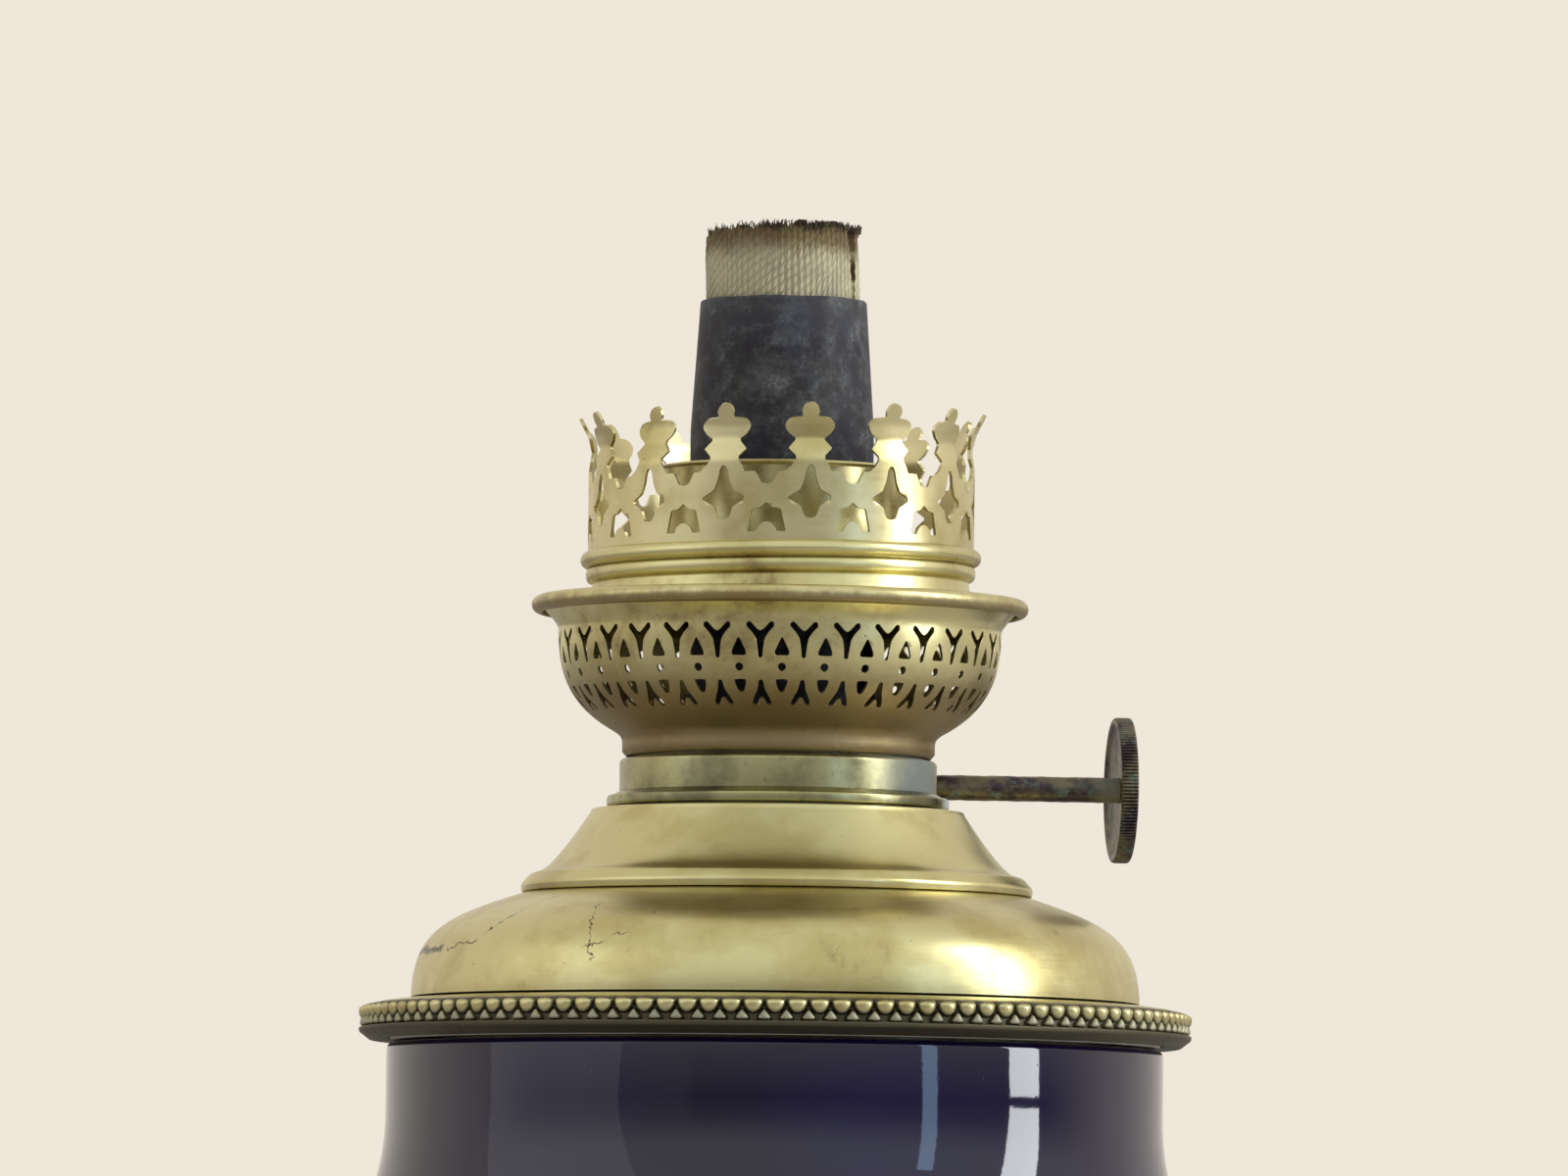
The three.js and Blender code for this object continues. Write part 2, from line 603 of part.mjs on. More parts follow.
// A flat wheel across the X axis from an outline of points in its own plane.
function wheelFrom(radii, holeRadius, width, faceX) {
  const shape = new THREE.Shape(
    radii.map((radius, i) => {
      const angle = (i / radii.length) * 2 * Math.PI;
      return at(radius * Math.cos(angle), radius * Math.sin(angle));
    }),
  );
  const hole = new THREE.Path().absarc(0, 0, holeRadius, 0, 2 * Math.PI, true);
  shape.holes.push(hole);
  const options = { depth: width, bevelEnabled: false, curveSegments: smallSides / 2 };
  const plate = new THREE.ExtrudeGeometry(shape, options);
  return plate.rotateY(Math.PI / 2).translate(faceX, spindleOffset, spindleHeight);
}

function wickWheel(x) {
  const radii = Array.from({ length: sprocket.teeth }, () => [sprocket.radius, sprocket.rootRadius]).flat();
  return wheelFrom(radii, spindle.radius + seatGap, sprocket.width, x - sprocket.width / 2);
}

// A knurled rim, a thinner web and a boss towards the lamp.
function knurledWheel() {
  const root = thumbwheel.radius - thumbwheel.knurlDepth;
  const radii = Array.from({ length: thumbwheel.knurls }, () => [thumbwheel.radius, root]).flat();
  const bore = thumbwheel.radius - thumbwheel.rimWidth;
  const rim = wheelFrom(radii, bore, thumbwheel.width, thumbwheel.innerFace);
  const webFar = thumbwheel.width - thumbwheel.outerInset;
  const webNear = webFar - thumbwheel.webWidth;
  const hole = spindle.radius + seatGap;
  const overlap = (bore + root) / 2;
  const section = [at(hole, 0), at(thumbwheel.hubRadius, 0), at(thumbwheel.hubRadius, webNear)];
  const web = turned([...section, at(overlap, webNear), at(overlap, webFar), at(hole, webFar)], middleSides);
  web.rotateY(Math.PI / 2).translate(thumbwheel.innerFace, spindleOffset, spindleHeight);
  return join(rim, web);
}

// Wick: a woven strip rolled round the inner tube. Its edges meet above the air port and part round it.
function roundWick() {
  const middle = wick.radius - wick.thickness / 2;
  const partTop = portBottom + port.height + port.wickTravelRoom + port.wickTaper;
  const wide = port.width / 2 + port.wickRoom;
  const narrow = wick.slit / 2;
  const taper = Array.from({ length: taperSteps + 1 }, (_, i) => i / taperSteps);
  const heights = taper.map((share) => partTop + (share - 1) * port.wickTaper);
  const lines = [wickTop - wick.length, ...heights, wickTop].map((height) => at(wick.radius, height));
  const halves = taper.map((share) => THREE.MathUtils.lerp(wide, narrow, share));
  const halfGaps = [wide, ...halves, narrow].map((half) => Math.asin(half / middle));
  const spot = (line, column) => {
    const start = halfGaps[line] / (2 * Math.PI);
    return at(THREE.MathUtils.lerp(start, 1 - start, column / wickColumns), line);
  };
  const panels = halfGaps.slice(1).flatMap((_, line) =>
    Array.from({ length: wickColumns }, (_, i) => ({
      outline: [spot(line, i), spot(line, i + 1), spot(line + 1, i + 1), spot(line + 1, i)],
    })),
  );
  return bentSheet(lines, wick.thickness, 1, port.angle, panels);
}

// Gallery

// The basket's sheet: a neck, three rows of openings in the belly and the rolled-out rim.
function piercedBasket() {
  const bellyRadius = neckRadius + basket.bellyOut;
  const bellyTop = bellyBottom + basket.bellyHeight;
  const neckTop = at(neckRadius + basket.neckFlare, bellyBottom);
  const belly = curve(neckTop, at(bellyRadius, bellyTop), bellyCurveShares, curveSteps.belly);
  const lineAt = (height) => at(radiusAt(belly, bellyBottom + height), bellyBottom + height);
  const rows = [basket.patternBottom, basket.lowerTop, basket.holesTop, basket.patternTop].map(lineAt);
  const { out, up } = basketRimShares;
  const rim = [at(bellyRadius + out * basket.rimOut, bellyTop + up * basket.rimHeight)];
  const lines = [at(neckRadius, neckBottom), neckTop, ...rows, ...rim, at(bellyRadius + basket.rimOut, rimTop)];
  return bentSheet(lines, basket.wall, basket.units, basket.phase, basketPanels());
}

// Panels of the basket. Each row's openings stand on the unit's middle line and half a unit before it.
function basketPanels() {
  const { below, lowerBottom, lowerTop, holesTop, above } = unitLineShares;
  const wedge = mirrored(wedgeShares);
  const ogive = mirrored(ogiveShares);
  const wye = mirrored(wyeShares);
  const invertedWye = mirrored(invertedWyeShares);
  const roundHole = Array.from({ length: roundHoleShares.points }, (_, i) => {
    const angle = (i / roundHoleShares.points) * 2 * Math.PI;
    const { across, up, middle } = roundHoleShares;
    return [across * Math.cos(angle), middle + up * Math.sin(angle)];
  });
  const rows = [
    { from: below, to: below },
    { from: below, to: lowerBottom },
    { from: lowerBottom, to: lowerTop, middle: invertedWye, between: wedge },
    { from: lowerTop, to: holesTop, between: roundHole },
    { from: holesTop, to: above, middle: wye, between: ogive },
    { from: above, to: above },
    { from: above, to: above },
  ];
  return rows.flatMap(({ from, to, middle, between }, line) =>
    plainRow(basket.units, 1, line, from, to).map(({ outline }, i) => {
      const holes = [];
      if (middle) holes.push(moved(middle, i + 1, line));
      if (between) holes.push(moved(between, i + 1 / 2, line));
      return { outline, holes };
    }),
  );
}

// The crown's sheet: curled rim, disc, neck, sleeve, bead, pierced band, and prongs that lean in and flare out.
function crownGallery() {
  const neck = sleeveRadius - crown.grooveDepth;
  const rim = neckRadius + basket.bellyOut + basket.rimOut + crown.wall + seatGap + crown.curlDepth / 2;
  const sleeveTop = sleeveBottom + crown.sleeveHeight;
  const fold = bandBottom + crown.bandHeight;
  const lean = fold + crown.foldHeight;
  const leanRadius = sleeveRadius - crown.leanIn;
  const plainLines = [
    at(rim - crown.curlDepth / 2, discTop - crown.curlHeight),
    at(rim, discTop - crown.curlHeight / 2),
    at(rim - crown.curlDepth, discTop),
    at(neck, discTop),
    at(neck, discTop + crown.neckHeight),
    at(sleeveRadius, sleeveBottom),
    at(sleeveRadius, sleeveTop),
    at(sleeveRadius + crown.beadProud, sleeveTop + crown.beadHeight / 2),
  ];
  const bandLines = [
    at(sleeveRadius, bandBottom),
    at(sleeveRadius, fold),
    at(leanRadius, lean),
    at(leanRadius + crown.flareOut, lean + crown.tipHeight),
  ];
  const plain = plainLines.flatMap((_, line) =>
    plainRow(crown.units, crownColumns, line, unitFootShare, unitFootShare),
  );
  const lines = [...plainLines, ...bandLines];
  const panels = [...plain, ...prongPanels(plainLines.length)];
  return bentSheet(lines, crown.wall, crown.units, crown.phase, panels);
}

// One unit of the pierced band with its prong: band, folded waist and tip, repeated round the crown.
function prongPanels(band) {
  const bottom = Array.from({ length: crownColumns + 1 }, (_, i) => [i / crownColumns - 1 + unitFootShare, 0]);
  const wall = [...bottom, ...valleyShares, ...notchShares];
  const star = mirrored(starShares);
  const arch = mirrored(archShares);
  const waist = mirrored(foldShares);
  const tip = mirrored(tipShares);
  return Array.from({ length: crown.units }, (_, i) => [
    { outline: moved(wall, i, band), holes: [moved(star, i, band), moved(arch, i - 1 / 2, band)] },
    { outline: moved(waist, i, band + 1) },
    { outline: moved(tip, i, band + 2) },
  ]).flat();
}

// The inner collar that guides air to the flame, with the flange that carries the chimney.
function innerAirCollar() {
  const outer = sleeveRadius - crown.wall - seatGap;
  const seat = discTop + airCollar.seatHeight;
  const top = seat + airCollar.height;
  const skirt = [at(outer, seat - airCollar.skirt), at(outer, seat)];
  const lip = at(airCollarRadius + airCollar.lipFlare, top);
  const upstand = [at(airCollarRadius, seat), at(airCollarRadius, top - airCollar.lipFlare), lip];
  return spun([...skirt, ...upstand], airCollar.wall, middleSides);
}

// Materials

const finish = (color, roughness, metalness) => new THREE.MeshStandardMaterial({ color, roughness, metalness });
const agedBrass = finish("#a08a4a", 0.32, 1);
const dullBrass = finish("#6f6a48", 0.5, 1);
const glazedCobalt = finish("#0b0b33", 0.08, 0);
const burntMetal = finish("#23222e", 0.55, 0.6);
const oxidised = finish("#4a4333", 0.6, 0.7);
const cotton = finish("#c9bfa0", 0.95, 0);
const lime = finish("#d8d2c4", 0.9, 0);

// The lamp

const lamp = new THREE.Group();
const assemblies = {
  body: [
    ["brass_foot", brassFoot(), agedBrass],
    ["foot_ring", ringRoundBase(), agedBrass],
    ["tie_bolt", tieBolt(), oxidised],
    ["tie_washer", tieWasher(), oxidised],
    ["tie_nut", tieNut(), oxidised],
    ["ceramic_vase", ceramicVase(), glazedCobalt],
    ["plaster_bed", plasterBed(), lime],
    ["beaded_ring", beadedRing(), agedBrass],
  ],
  fount: [
    ["fount_bowl", fountBowl(), dullBrass],
    ["fount_dome", fountDome(), agedBrass],
    ["fount_cap", fountCap(), agedBrass],
    ["fount_collar", fountCollar(), dullBrass],
  ],
  burner: [
    ["burner_base", burnerBase(), dullBrass],
    ["burner_drum", burnerDrum(), dullBrass],
    ["outer_wick_tube", outerWickTube(), burntMetal],
    ["draught_tube", draughtTube(), burntMetal],
    ["draught_port", draughtPort(), burntMetal],
    ["spindle_bracket", spindleBracket(), dullBrass],
  ],
  winder: [
    ["winder_spindle", winderSpindle(), oxidised],
    ["thumbwheel", knurledWheel(), oxidised],
    ["wick_wheel_left", wickWheel(sprocketPlaces[0]), oxidised],
    ["wick_wheel_right", wickWheel(sprocketPlaces[1]), oxidised],
  ],
  wick: [["wick", roundWick(), cotton]],
  gallery: [
    ["pierced_basket", piercedBasket(), agedBrass],
    ["crown_gallery", crownGallery(), agedBrass],
    ["air_collar", innerAirCollar(), agedBrass],
  ],
};

for (const pieces of Object.values(assemblies)) {
  const assembly = new THREE.Group();
  for (const [name, geometry, material] of pieces) {
    const mesh = new THREE.Mesh(geometry, material);
    mesh.name = name;
    assembly.add(mesh);
  }
  lamp.add(assembly);
}

export default lamp;
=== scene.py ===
# Kerosene lamp base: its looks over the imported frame. Metres, +Z up, the winder spindle towards +X.
import math
from functools import partialmethod

import bmesh
import bpy
import numpy as np
from mathutils import Matrix, Vector, geometry


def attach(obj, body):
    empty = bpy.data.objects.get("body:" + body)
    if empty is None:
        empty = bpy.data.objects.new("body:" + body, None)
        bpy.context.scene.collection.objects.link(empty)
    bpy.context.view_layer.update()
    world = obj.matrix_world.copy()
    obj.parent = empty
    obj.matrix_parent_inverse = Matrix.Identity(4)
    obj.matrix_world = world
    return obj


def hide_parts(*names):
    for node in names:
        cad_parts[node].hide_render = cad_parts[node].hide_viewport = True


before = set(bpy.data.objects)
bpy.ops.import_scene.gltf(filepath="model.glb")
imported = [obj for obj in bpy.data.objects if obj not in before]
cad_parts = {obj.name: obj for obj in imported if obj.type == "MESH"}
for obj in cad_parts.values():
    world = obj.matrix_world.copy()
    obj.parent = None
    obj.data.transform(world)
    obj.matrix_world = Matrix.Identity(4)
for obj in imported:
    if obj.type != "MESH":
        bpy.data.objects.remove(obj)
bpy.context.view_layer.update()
rng = np.random.default_rng(14)
mm = 0.001
ductTurn = -29  # degrees round from +X: the side duct, and the wick's slit above it
print("frame loaded")

# camera

shot = {
    "lens": 283.5, "sensor": 36, "distance": 1.726, "height": 0.1435,
    "azimuth": -6.0, "pitch": 3.63, "yaw": -0.0168, "roll": 0.68,
}


def placed(name, data):  # a new object in the scene
    thing = bpy.data.objects.new(name, data)
    bpy.context.scene.collection.objects.link(thing)
    return thing


def makeCamera():
    data = bpy.data.cameras.new("photoCamera")
    data.lens, data.sensor_width = shot["lens"], shot["sensor"]
    data.clip_start, data.clip_end = 0.05, 60
    camera = placed("photoCamera", data)
    turn = math.radians(shot["azimuth"])
    spot = Vector((math.sin(turn), -math.cos(turn), 0)) * shot["distance"] + Vector((0, 0, shot["height"]))
    facing = Matrix.Rotation(turn + math.radians(shot["yaw"]), 4, "Z")
    facing = facing @ Matrix.Rotation(math.radians(90 + shot["pitch"]), 4, "X")
    camera.matrix_world = Matrix.Translation(spot) @ facing @ Matrix.Rotation(math.radians(shot["roll"]), 4, "Z")
    bpy.context.scene.camera = camera


makeCamera()
print("camera placed")

# shader sums


class Sock:  # a shader socket that can stand in a sum
    def __init__(self, nodes, socket):
        self.nodes, self.socket = nodes, socket

    def maths(self, operation, *others):
        values = dict(enumerate([self, *others]))
        return self.nodes.node("Math", {"operation": operation}, values)

    def __rsub__(self, other):
        return self.nodes.node("Math", {"operation": "SUBTRACT"}, {0: other, 1: self})

    __add__ = __radd__ = partialmethod(maths, "ADD")
    __sub__ = partialmethod(maths, "SUBTRACT")
    __mul__ = __rmul__ = partialmethod(maths, "MULTIPLY")
    __truediv__ = partialmethod(maths, "DIVIDE")
    __pow__ = partialmethod(maths, "POWER")
    __abs__ = partialmethod(maths, "ABSOLUTE")


class Nodes:  # the nodes of a material or of the world
    def __init__(self, owner, coordinate):
        owner.use_nodes = True
        self.tree = owner.node_tree
        self.place = self.node("TexCoord", out=coordinate)
        split = self.node("SeparateXYZ", inputs={0: self.place}).socket.node
        self.x, self.y, self.z = (Sock(self, socket) for socket in split.outputs)

    def node(self, kind, settings=None, inputs=None, out=0):
        made = self.tree.nodes.new("ShaderNode" + kind)
        for key, value in (settings or {}).items():
            setattr(made, key, value)
        for key, value in (inputs or {}).items():
            self.feed(made.inputs[key], value)
        return Sock(self, made.outputs[out])

    def feed(self, socket, value):
        if isinstance(value, Sock):
            self.tree.links.new(value.socket, socket)
        else:
            socket.default_value = (*value, 1) if socket.type == "RGBA" and len(value) == 3 else value

    def step(self, value, low, high):  # 0 up to low, 1 from high on, smooth between
        inputs = {"Value": value, "From Min": low, "From Max": high}
        return self.node("MapRange", {"interpolation_type": "SMOOTHSTEP"}, inputs)

    def mix(self, first, second, factor):  # 6, 7 and 2 are the node's colour sockets
        return self.node("Mix", {"data_type": "RGBA"}, {0: factor, 6: first, 7: second}, out=2)


class Paint(Nodes):  # one material
    def __init__(self, name):
        self.material = bpy.data.materials.new(name)
        super().__init__(self.material, "Object")
        self.shader = self.tree.nodes["Principled BSDF"]

    def done(self, color, metallic, rough, normal=None, **others):  # feeds the shader
        inputs = {"Base_Color": color, "Metallic": metallic, "Roughness": rough, **others}
        if normal:
            inputs["Normal"] = normal
        for name, value in inputs.items():
            self.feed(self.shader.inputs[name.replace("_", " ")], value)
        return self.material

    def noise(self, size, detail=3, rough=0.55, seed=0.0, stretch=None):  # size in mm
        where = self.place
        if stretch:
            where = self.node("Mapping", inputs={"Vector": where, "Scale": stretch})
        shifted = self.node("VectorMath", {"operation": "ADD"}, {0: where, 1: (seed, seed * 0.7, seed * 1.3)})
        inputs = {"Vector": shifted, "Scale": 1 / (size * mm), "Detail": detail, "Roughness": rough}
        return self.node("TexNoise", inputs=inputs)

    def stepAt(self, length, low, high):  # a step of a length, with low and high in mm
        return self.step(length, low * mm, high * mm)

    def bump(self, height, strength, depth):  # depth in mm
        return self.node("Bump", inputs={"Height": height, "Strength": strength, "Distance": depth * mm})

    def radius(self):  # from the lamp's axis
        return (self.x * self.x + self.y * self.y) ** 0.5

    def angle(self, degrees=0):  # round the lamp, from the given direction, in degrees
        turn = math.radians(degrees)
        across = self.y * math.cos(turn) - self.x * math.sin(turn)
        along = self.x * math.cos(turn) + self.y * math.sin(turn)
        return across.maths("ARCTAN2", along) * (180 / math.pi)


# finishes

brassLook = {
    "bright": (0.60, 0.545, 0.285), "olive": (0.49, 0.42, 0.19), "brown": (0.16, 0.095, 0.055),
    # the second colour below is the dark of the ring's painted shade and of its bead gaps
    "black": (0.02, 0.015, 0.01), "shadeAndGaps": (0.075, 0.068, 0.048), "chalk": (0.30, 0.31, 0.28),
    "cloud": 14, "spots": 2.2, "lines": 0.35, "shine": 0.3,
}


def brass(name, tarnish, shadeBelow=None, shine=0.0, cracks=(), tint=None, shadeAndGaps=None):
    look = brassLook
    paint = Paint(name)
    clouds = paint.noise(look["cloud"], 4, 0.6)
    fine = paint.noise(look["spots"], 4, 0.7, seed=3.1)
    lines = paint.noise(look["lines"], 2, 0.6, stretch=(0.06, 0.06, 1), seed=1.7)
    color = paint.mix(tint or look["bright"], look["olive"], paint.step(clouds, 0.42, 0.66))
    wearAndShade = paint.step(clouds * 0.6 + fine * 0.4, 0.62 - tarnish * 0.3, 0.86 - tarnish * 0.3)
    if shadeBelow:  # painted shade: all brown below low, none over high, and how much
        low, high, share = shadeBelow
        depth = paint.stepAt(paint.z + (fine - 0.5) * (3 * mm), high, low) * share
        # the painted shade joins the wear and browns the colour with it
        wearAndShade = wearAndShade.maths("MAXIMUM", depth)
    color = paint.mix(color, look["brown"], wearAndShade * 0.75)
    specks = paint.step(paint.noise(0.9, 2, 0.5, seed=6.2), 0.74, 0.8)
    color = paint.mix(color, look["black"], specks * 0.7)
    rough = lines * 0.16 + wearAndShade * 0.2 + fine * 0.08 + (look["shine"] - 0.1 - shine)
    height = lines * 0.25 + fine * 0.5 + paint.noise(6, 2, 0.5, seed=9) * 2 - specks * 1.5
    metal = 1.0
    if shadeAndGaps:  # painted shade under the ring, darker between the beads, and chalk on the low beads, from a function of the paint
        shadeAndGapMask, chalk = shadeAndGaps(paint, fine)
        color = paint.mix(paint.mix(color, look["shadeAndGaps"], shadeAndGapMask), look["chalk"], chalk)
        rough = rough + shadeAndGapMask * 0.25 + chalk * 0.35
        metal = 1 - chalk * 0.6
    if cracks:
        split = seasonCracks(paint, cracks)
        color = paint.mix(color, look["black"], split * 0.85)
        height = height - split * 3
    return paint.done(color, metal, rough, paint.bump(height, 0.35, 0.05))


def ringShadeAndGaps(paint, fine):
    level, radius = paint.z + (fine - 0.5) * (0.5 * mm), paint.radius()
    # painted shade: the ring's underside below the band is darkened
    low = 1 - paint.stepAt(level, 190.75, 191.0)
    beads = paint.stepAt(level, 190.7, 190.95) * (1 - paint.stepAt(level, 193.9, 194.3))
    # darker in the gaps between the beads
    gaps = beads * (1 - paint.stepAt(radius, 57.45, 57.9))
    chalk = beads * (1 - paint.stepAt(level, 191.9, 192.6)) * paint.stepAt(radius, 57.6, 57.9)
    return (low * 0.95).maths("MAXIMUM", gaps * 0.95), chalk * 0.7


def seasonCracks(paint, cracks):  # hairlines: (start angle, end angle, height at each end, half width in mm)
    wander = paint.noise(3.2, 3, 0.6, seed=5) - 0.5
    jag = paint.noise(0.9, 2, 0.6, seed=8) - 0.5
    perDegree = 0.85  # mm round the dome
    total = None
    for startAngle, endAngle, startHeight, endHeight, half in cracks:
        sweep, rise = endAngle - startAngle, endHeight - startHeight
        turn = paint.angle((startAngle + endAngle) / 2)
        middle = (startHeight + endHeight) / 2 * mm
        flat = abs(rise) < 6
        shift = (wander * 1.6 if flat else wander * 4) * mm + jag * (1.2 * mm)
        if flat:  # runs round the dome
            off = paint.z - (turn * (rise / sweep * mm) + middle) + shift
            ends = 1 - paint.step(abs(turn) - abs(sweep) / 2, -2.0, 0.0)
        else:  # climbs the dome
            level, reach = paint.z - middle, abs(rise) / 2
            off = (turn * (perDegree * mm) - level * (sweep / rise * perDegree)) + shift
            ends = 1 - paint.stepAt(abs(level), reach * 0.8, reach)
            ends = ends * (1 - paint.step(abs(turn), 14.0, 16.0))
        line = (1 - paint.stepAt(abs(off), half * 0.5, half)) * ends
        total = line if total is None else total.maths("MAXIMUM", line)
    return total


dullLook = {"brown": (0.17, 0.16, 0.09), "green": (0.10, 0.13, 0.10), "cloud": 9, "spots": 1.6, "lines": 0.3}


def dullBrass(name, color, crustAndShade=None):
    look = dullLook
    paint = Paint(name)
    clouds = paint.noise(look["cloud"], 4, 0.6, seed=2)
    fine = paint.noise(look["spots"], 3, 0.65, seed=4)
    lines = paint.noise(look["lines"], 2, 0.6, stretch=(0.05, 0.05, 1))
    tone = paint.mix(color, look["brown"], paint.step(clouds, 0.4, 0.7))
    tone = paint.mix(tone, look["green"], paint.step(fine, 0.58, 0.75) * 0.6)
    metal = 1.0
    rough = lines * 0.12 + fine * 0.16 + 0.16
    if crustAndShade:  # crust round a place, on the drum also painted shade that dulls its highlight: its middle and reach in mm, and its colour
        middle, reach, crustAndShadeColor = crustAndShade
        near = paint.node("VectorMath", {"operation": "DISTANCE"}, {0: paint.place, 1: Vector(middle) * mm}, out=1)
        crust = 1 - paint.stepAt(near + (fine - 0.5) * (5 * mm), 1.5, reach)
        tone = paint.mix(tone, crustAndShadeColor, crust * 0.85)
        rough = rough + crust * 0.35
        metal = 1 - crust * 0.8
    return paint.done(tone, metal, rough, paint.bump(lines * 0.3 + fine * 0.7, 0.3, 0.05))


oxideLook = {
    "bronze": (0.16, 0.135, 0.09), "dark": (0.055, 0.042, 0.05), "green": (0.16, 0.24, 0.19),
    "crust": (0.42, 0.44, 0.40), "rodMiddle": 32.2, "crustFrom": 13.6, "crustTo": 16.4,
}


def oxidised(name, along=False):
    look = oxideLook
    paint = Paint(name)
    clouds = paint.noise(4, 4, 0.65, seed=1)
    fine = paint.noise(0.8, 3, 0.7, seed=7)
    color = paint.mix(look["bronze"], look["dark"], paint.step(clouds, 0.4, 0.62))
    green = paint.step(paint.noise(3, 4, 0.7, seed=12) + fine * 0.3, 0.68, 0.84)
    color = paint.mix(color, look["green"], green * 0.75)
    rough = fine * 0.25 + green * 0.25 + 0.28
    metal = 1 - green * 0.75
    if along:  # pale crust at both ends of the rod
        off = abs(paint.x - look["rodMiddle"] * mm) + (clouds - 0.5) * (5 * mm)
        ends = paint.stepAt(off, look["crustFrom"], look["crustTo"])
        color = paint.mix(color, look["crust"], ends * 0.6)
        metal = metal * (1 - ends * 0.7)
        rough = rough + ends * 0.2
    return paint.done(color, metal, rough, paint.bump(fine + clouds, 0.5, 0.08))


burntLook = {
    "violet": (0.019, 0.015, 0.024), "soot": (0.030, 0.027, 0.028), "blue": (0.026, 0.032, 0.062),
    "ash": (0.21, 0.225, 0.23), "ashFrom": 284, "ashTo": 292,
}


def burntTube(name):
    look = burntLook
    paint = Paint(name)
    large = paint.noise(9, 5, 0.62, seed=21)
    cloud = paint.noise(3.4, 6, 0.72, seed=5.5)
    fine = paint.noise(0.7, 3, 0.7, seed=2.2)
    color = paint.mix(look["violet"], look["soot"], paint.step(large, 0.4, 0.62))
    color = paint.mix(color, look["blue"], paint.step(paint.noise(7, 3, 0.6, seed=31), 0.5, 0.7) * 0.7)
    ash = paint.step(cloud * 0.75 + large * 0.25, 0.42, 0.70)
    veins = 1 - paint.step(abs(paint.noise(5, 4, 0.7, seed=14) - 0.5), 0.0, 0.04)
    bloom = ash * 0.42 + veins * ash * 0.55 + paint.step(fine, 0.6, 0.76) * ash * 0.4
    bloom = bloom + paint.stepAt(paint.z + (cloud - 0.5) * (12 * mm), look["ashFrom"], look["ashTo"]) * 0.13
    color = paint.mix(color, look["ash"], bloom)
    rough = bloom * 0.2 + fine * 0.1 + 0.55
    relief = paint.bump(cloud + fine * 0.5 + bloom, 0.4, 0.08)
    return paint.done(color, 0.0, rough, relief, Specular_IOR_Level=0.3)


glazeLook = {"deep": (0.006, 0.0025, 0.028), "clear": (0.009, 0.005, 0.050), "pit": (0.24, 0.23, 0.22)}


def glaze(name):
    look = glazeLook
    paint = Paint(name)
    depth = paint.noise(30, 3, 0.5, seed=2)
    fine = paint.noise(1.2, 2, 0.5, seed=8)
    color = paint.mix(look["deep"], look["clear"], paint.step(depth, 0.35, 0.7))
    pits = paint.step(paint.noise(1.6, 2, 0.6, seed=19), 0.765, 0.79)
    color = paint.mix(color, look["pit"], pits * 0.5)
    height = depth * 3 + fine * 0.12 - pits * 0.6
    return paint.done(color, 0.0, pits * 0.4 + 0.035, paint.bump(height, 0.25, 0.1), IOR=1.52)


def biscuit(name, color=(0.62, 0.57, 0.49), grain=1.2):  # unglazed ceramic and plaster
    paint = Paint(name)
    grit = paint.noise(grain, 4, 0.7)
    stain = paint.step(paint.noise(12, 3, 0.6, seed=4), 0.45, 0.7)
    tone = paint.mix(color, tuple(c * 0.62 for c in color), stain * 0.6 + grit * 0.25)
    return paint.done(tone, 0.0, grit * 0.15 + 0.8, paint.bump(grit, 0.5, 0.1))


def plainSteel(name, grey=(0.32, 0.31, 0.30), rusty=(0.16, 0.075, 0.035)):
    paint = Paint(name)
    grit = paint.noise(1.1, 4, 0.7)
    rust = paint.step(paint.noise(4, 4, 0.7, seed=4), 0.5, 0.68)
    tone = paint.mix(grey, rusty, rust * 0.8)
    return paint.done(tone, 1 - rust * 0.6, rust * 0.35 + 0.35, paint.bump(grit + rust, 0.4, 0.08))


weave = {
    "columns": 76, "row": 1.35, "slant": 0.8, "stagger": 0.5, "top": 303.6,
    "shade": (0.43, 0.39, 0.235), "cream": (0.78, 0.71, 0.48), "aged": (0.42, 0.39, 0.28),
    "char": (0.045, 0.024, 0.010), "scorch": (0.20, 0.135, 0.062), "olive": (0.25, 0.205, 0.075),
}


def cotton(name):
    look = weave
    paint = Paint(name)
    column = (paint.angle() / 360 + 1) * look["columns"] + (paint.noise(5, 2, 0.5, seed=3) - 0.5) * 1.1
    across = column.maths("FRACT") - 0.5
    course = paint.z / (look["row"] * mm) - across * look["slant"] + 400 + column.maths("FLOOR") * look["stagger"]
    course = course + (paint.noise(4, 2, 0.5, seed=6) - 0.5) * 0.9
    along = course.maths("FRACT") - 0.5
    stitch = (1 - (abs(across) * 2) ** 3) * (1 - (abs(along) * 2) ** 3)
    fuzz = paint.noise(0.35, 3, 0.7)
    blotch = paint.noise(6, 3, 0.6, seed=9)
    cream = paint.mix(look["shade"], look["cream"], stitch * 0.55 + fuzz * 0.5)
    cream = paint.mix(cream, look["aged"], paint.step(blotch, 0.42, 0.66) * 0.55)
    ragged = (paint.noise(2.2, 4, 0.7, seed=15) - 0.5) * (3.4 * mm) + (blotch - 0.5) * (3 * mm)
    below = look["top"] * mm - paint.z + ragged
    slitEdge = 1 - paint.step(abs(paint.angle(ductTurn)) + (fuzz - 0.5) * 3, 3.2, 5.6)
    below = below - slitEdge * (5.5 * mm) * paint.stepAt(paint.z, 294, 297)  # charred deeper beside the slit
    color = paint.mix(look["char"], look["scorch"], paint.stepAt(below, 0.2, 1.9))
    color = paint.mix(color, look["olive"], paint.step(paint.noise(3, 3, 0.6, seed=27), 0.5, 0.66) * 0.55)
    color = paint.mix(color, cream, paint.stepAt(below, 2.0, 5.4))
    return paint.done(color, 0.0, 0.95, paint.bump(stitch * 1.1 + fuzz * 1.1, 0.8, 0.16), Sheen_Weight=0.15)


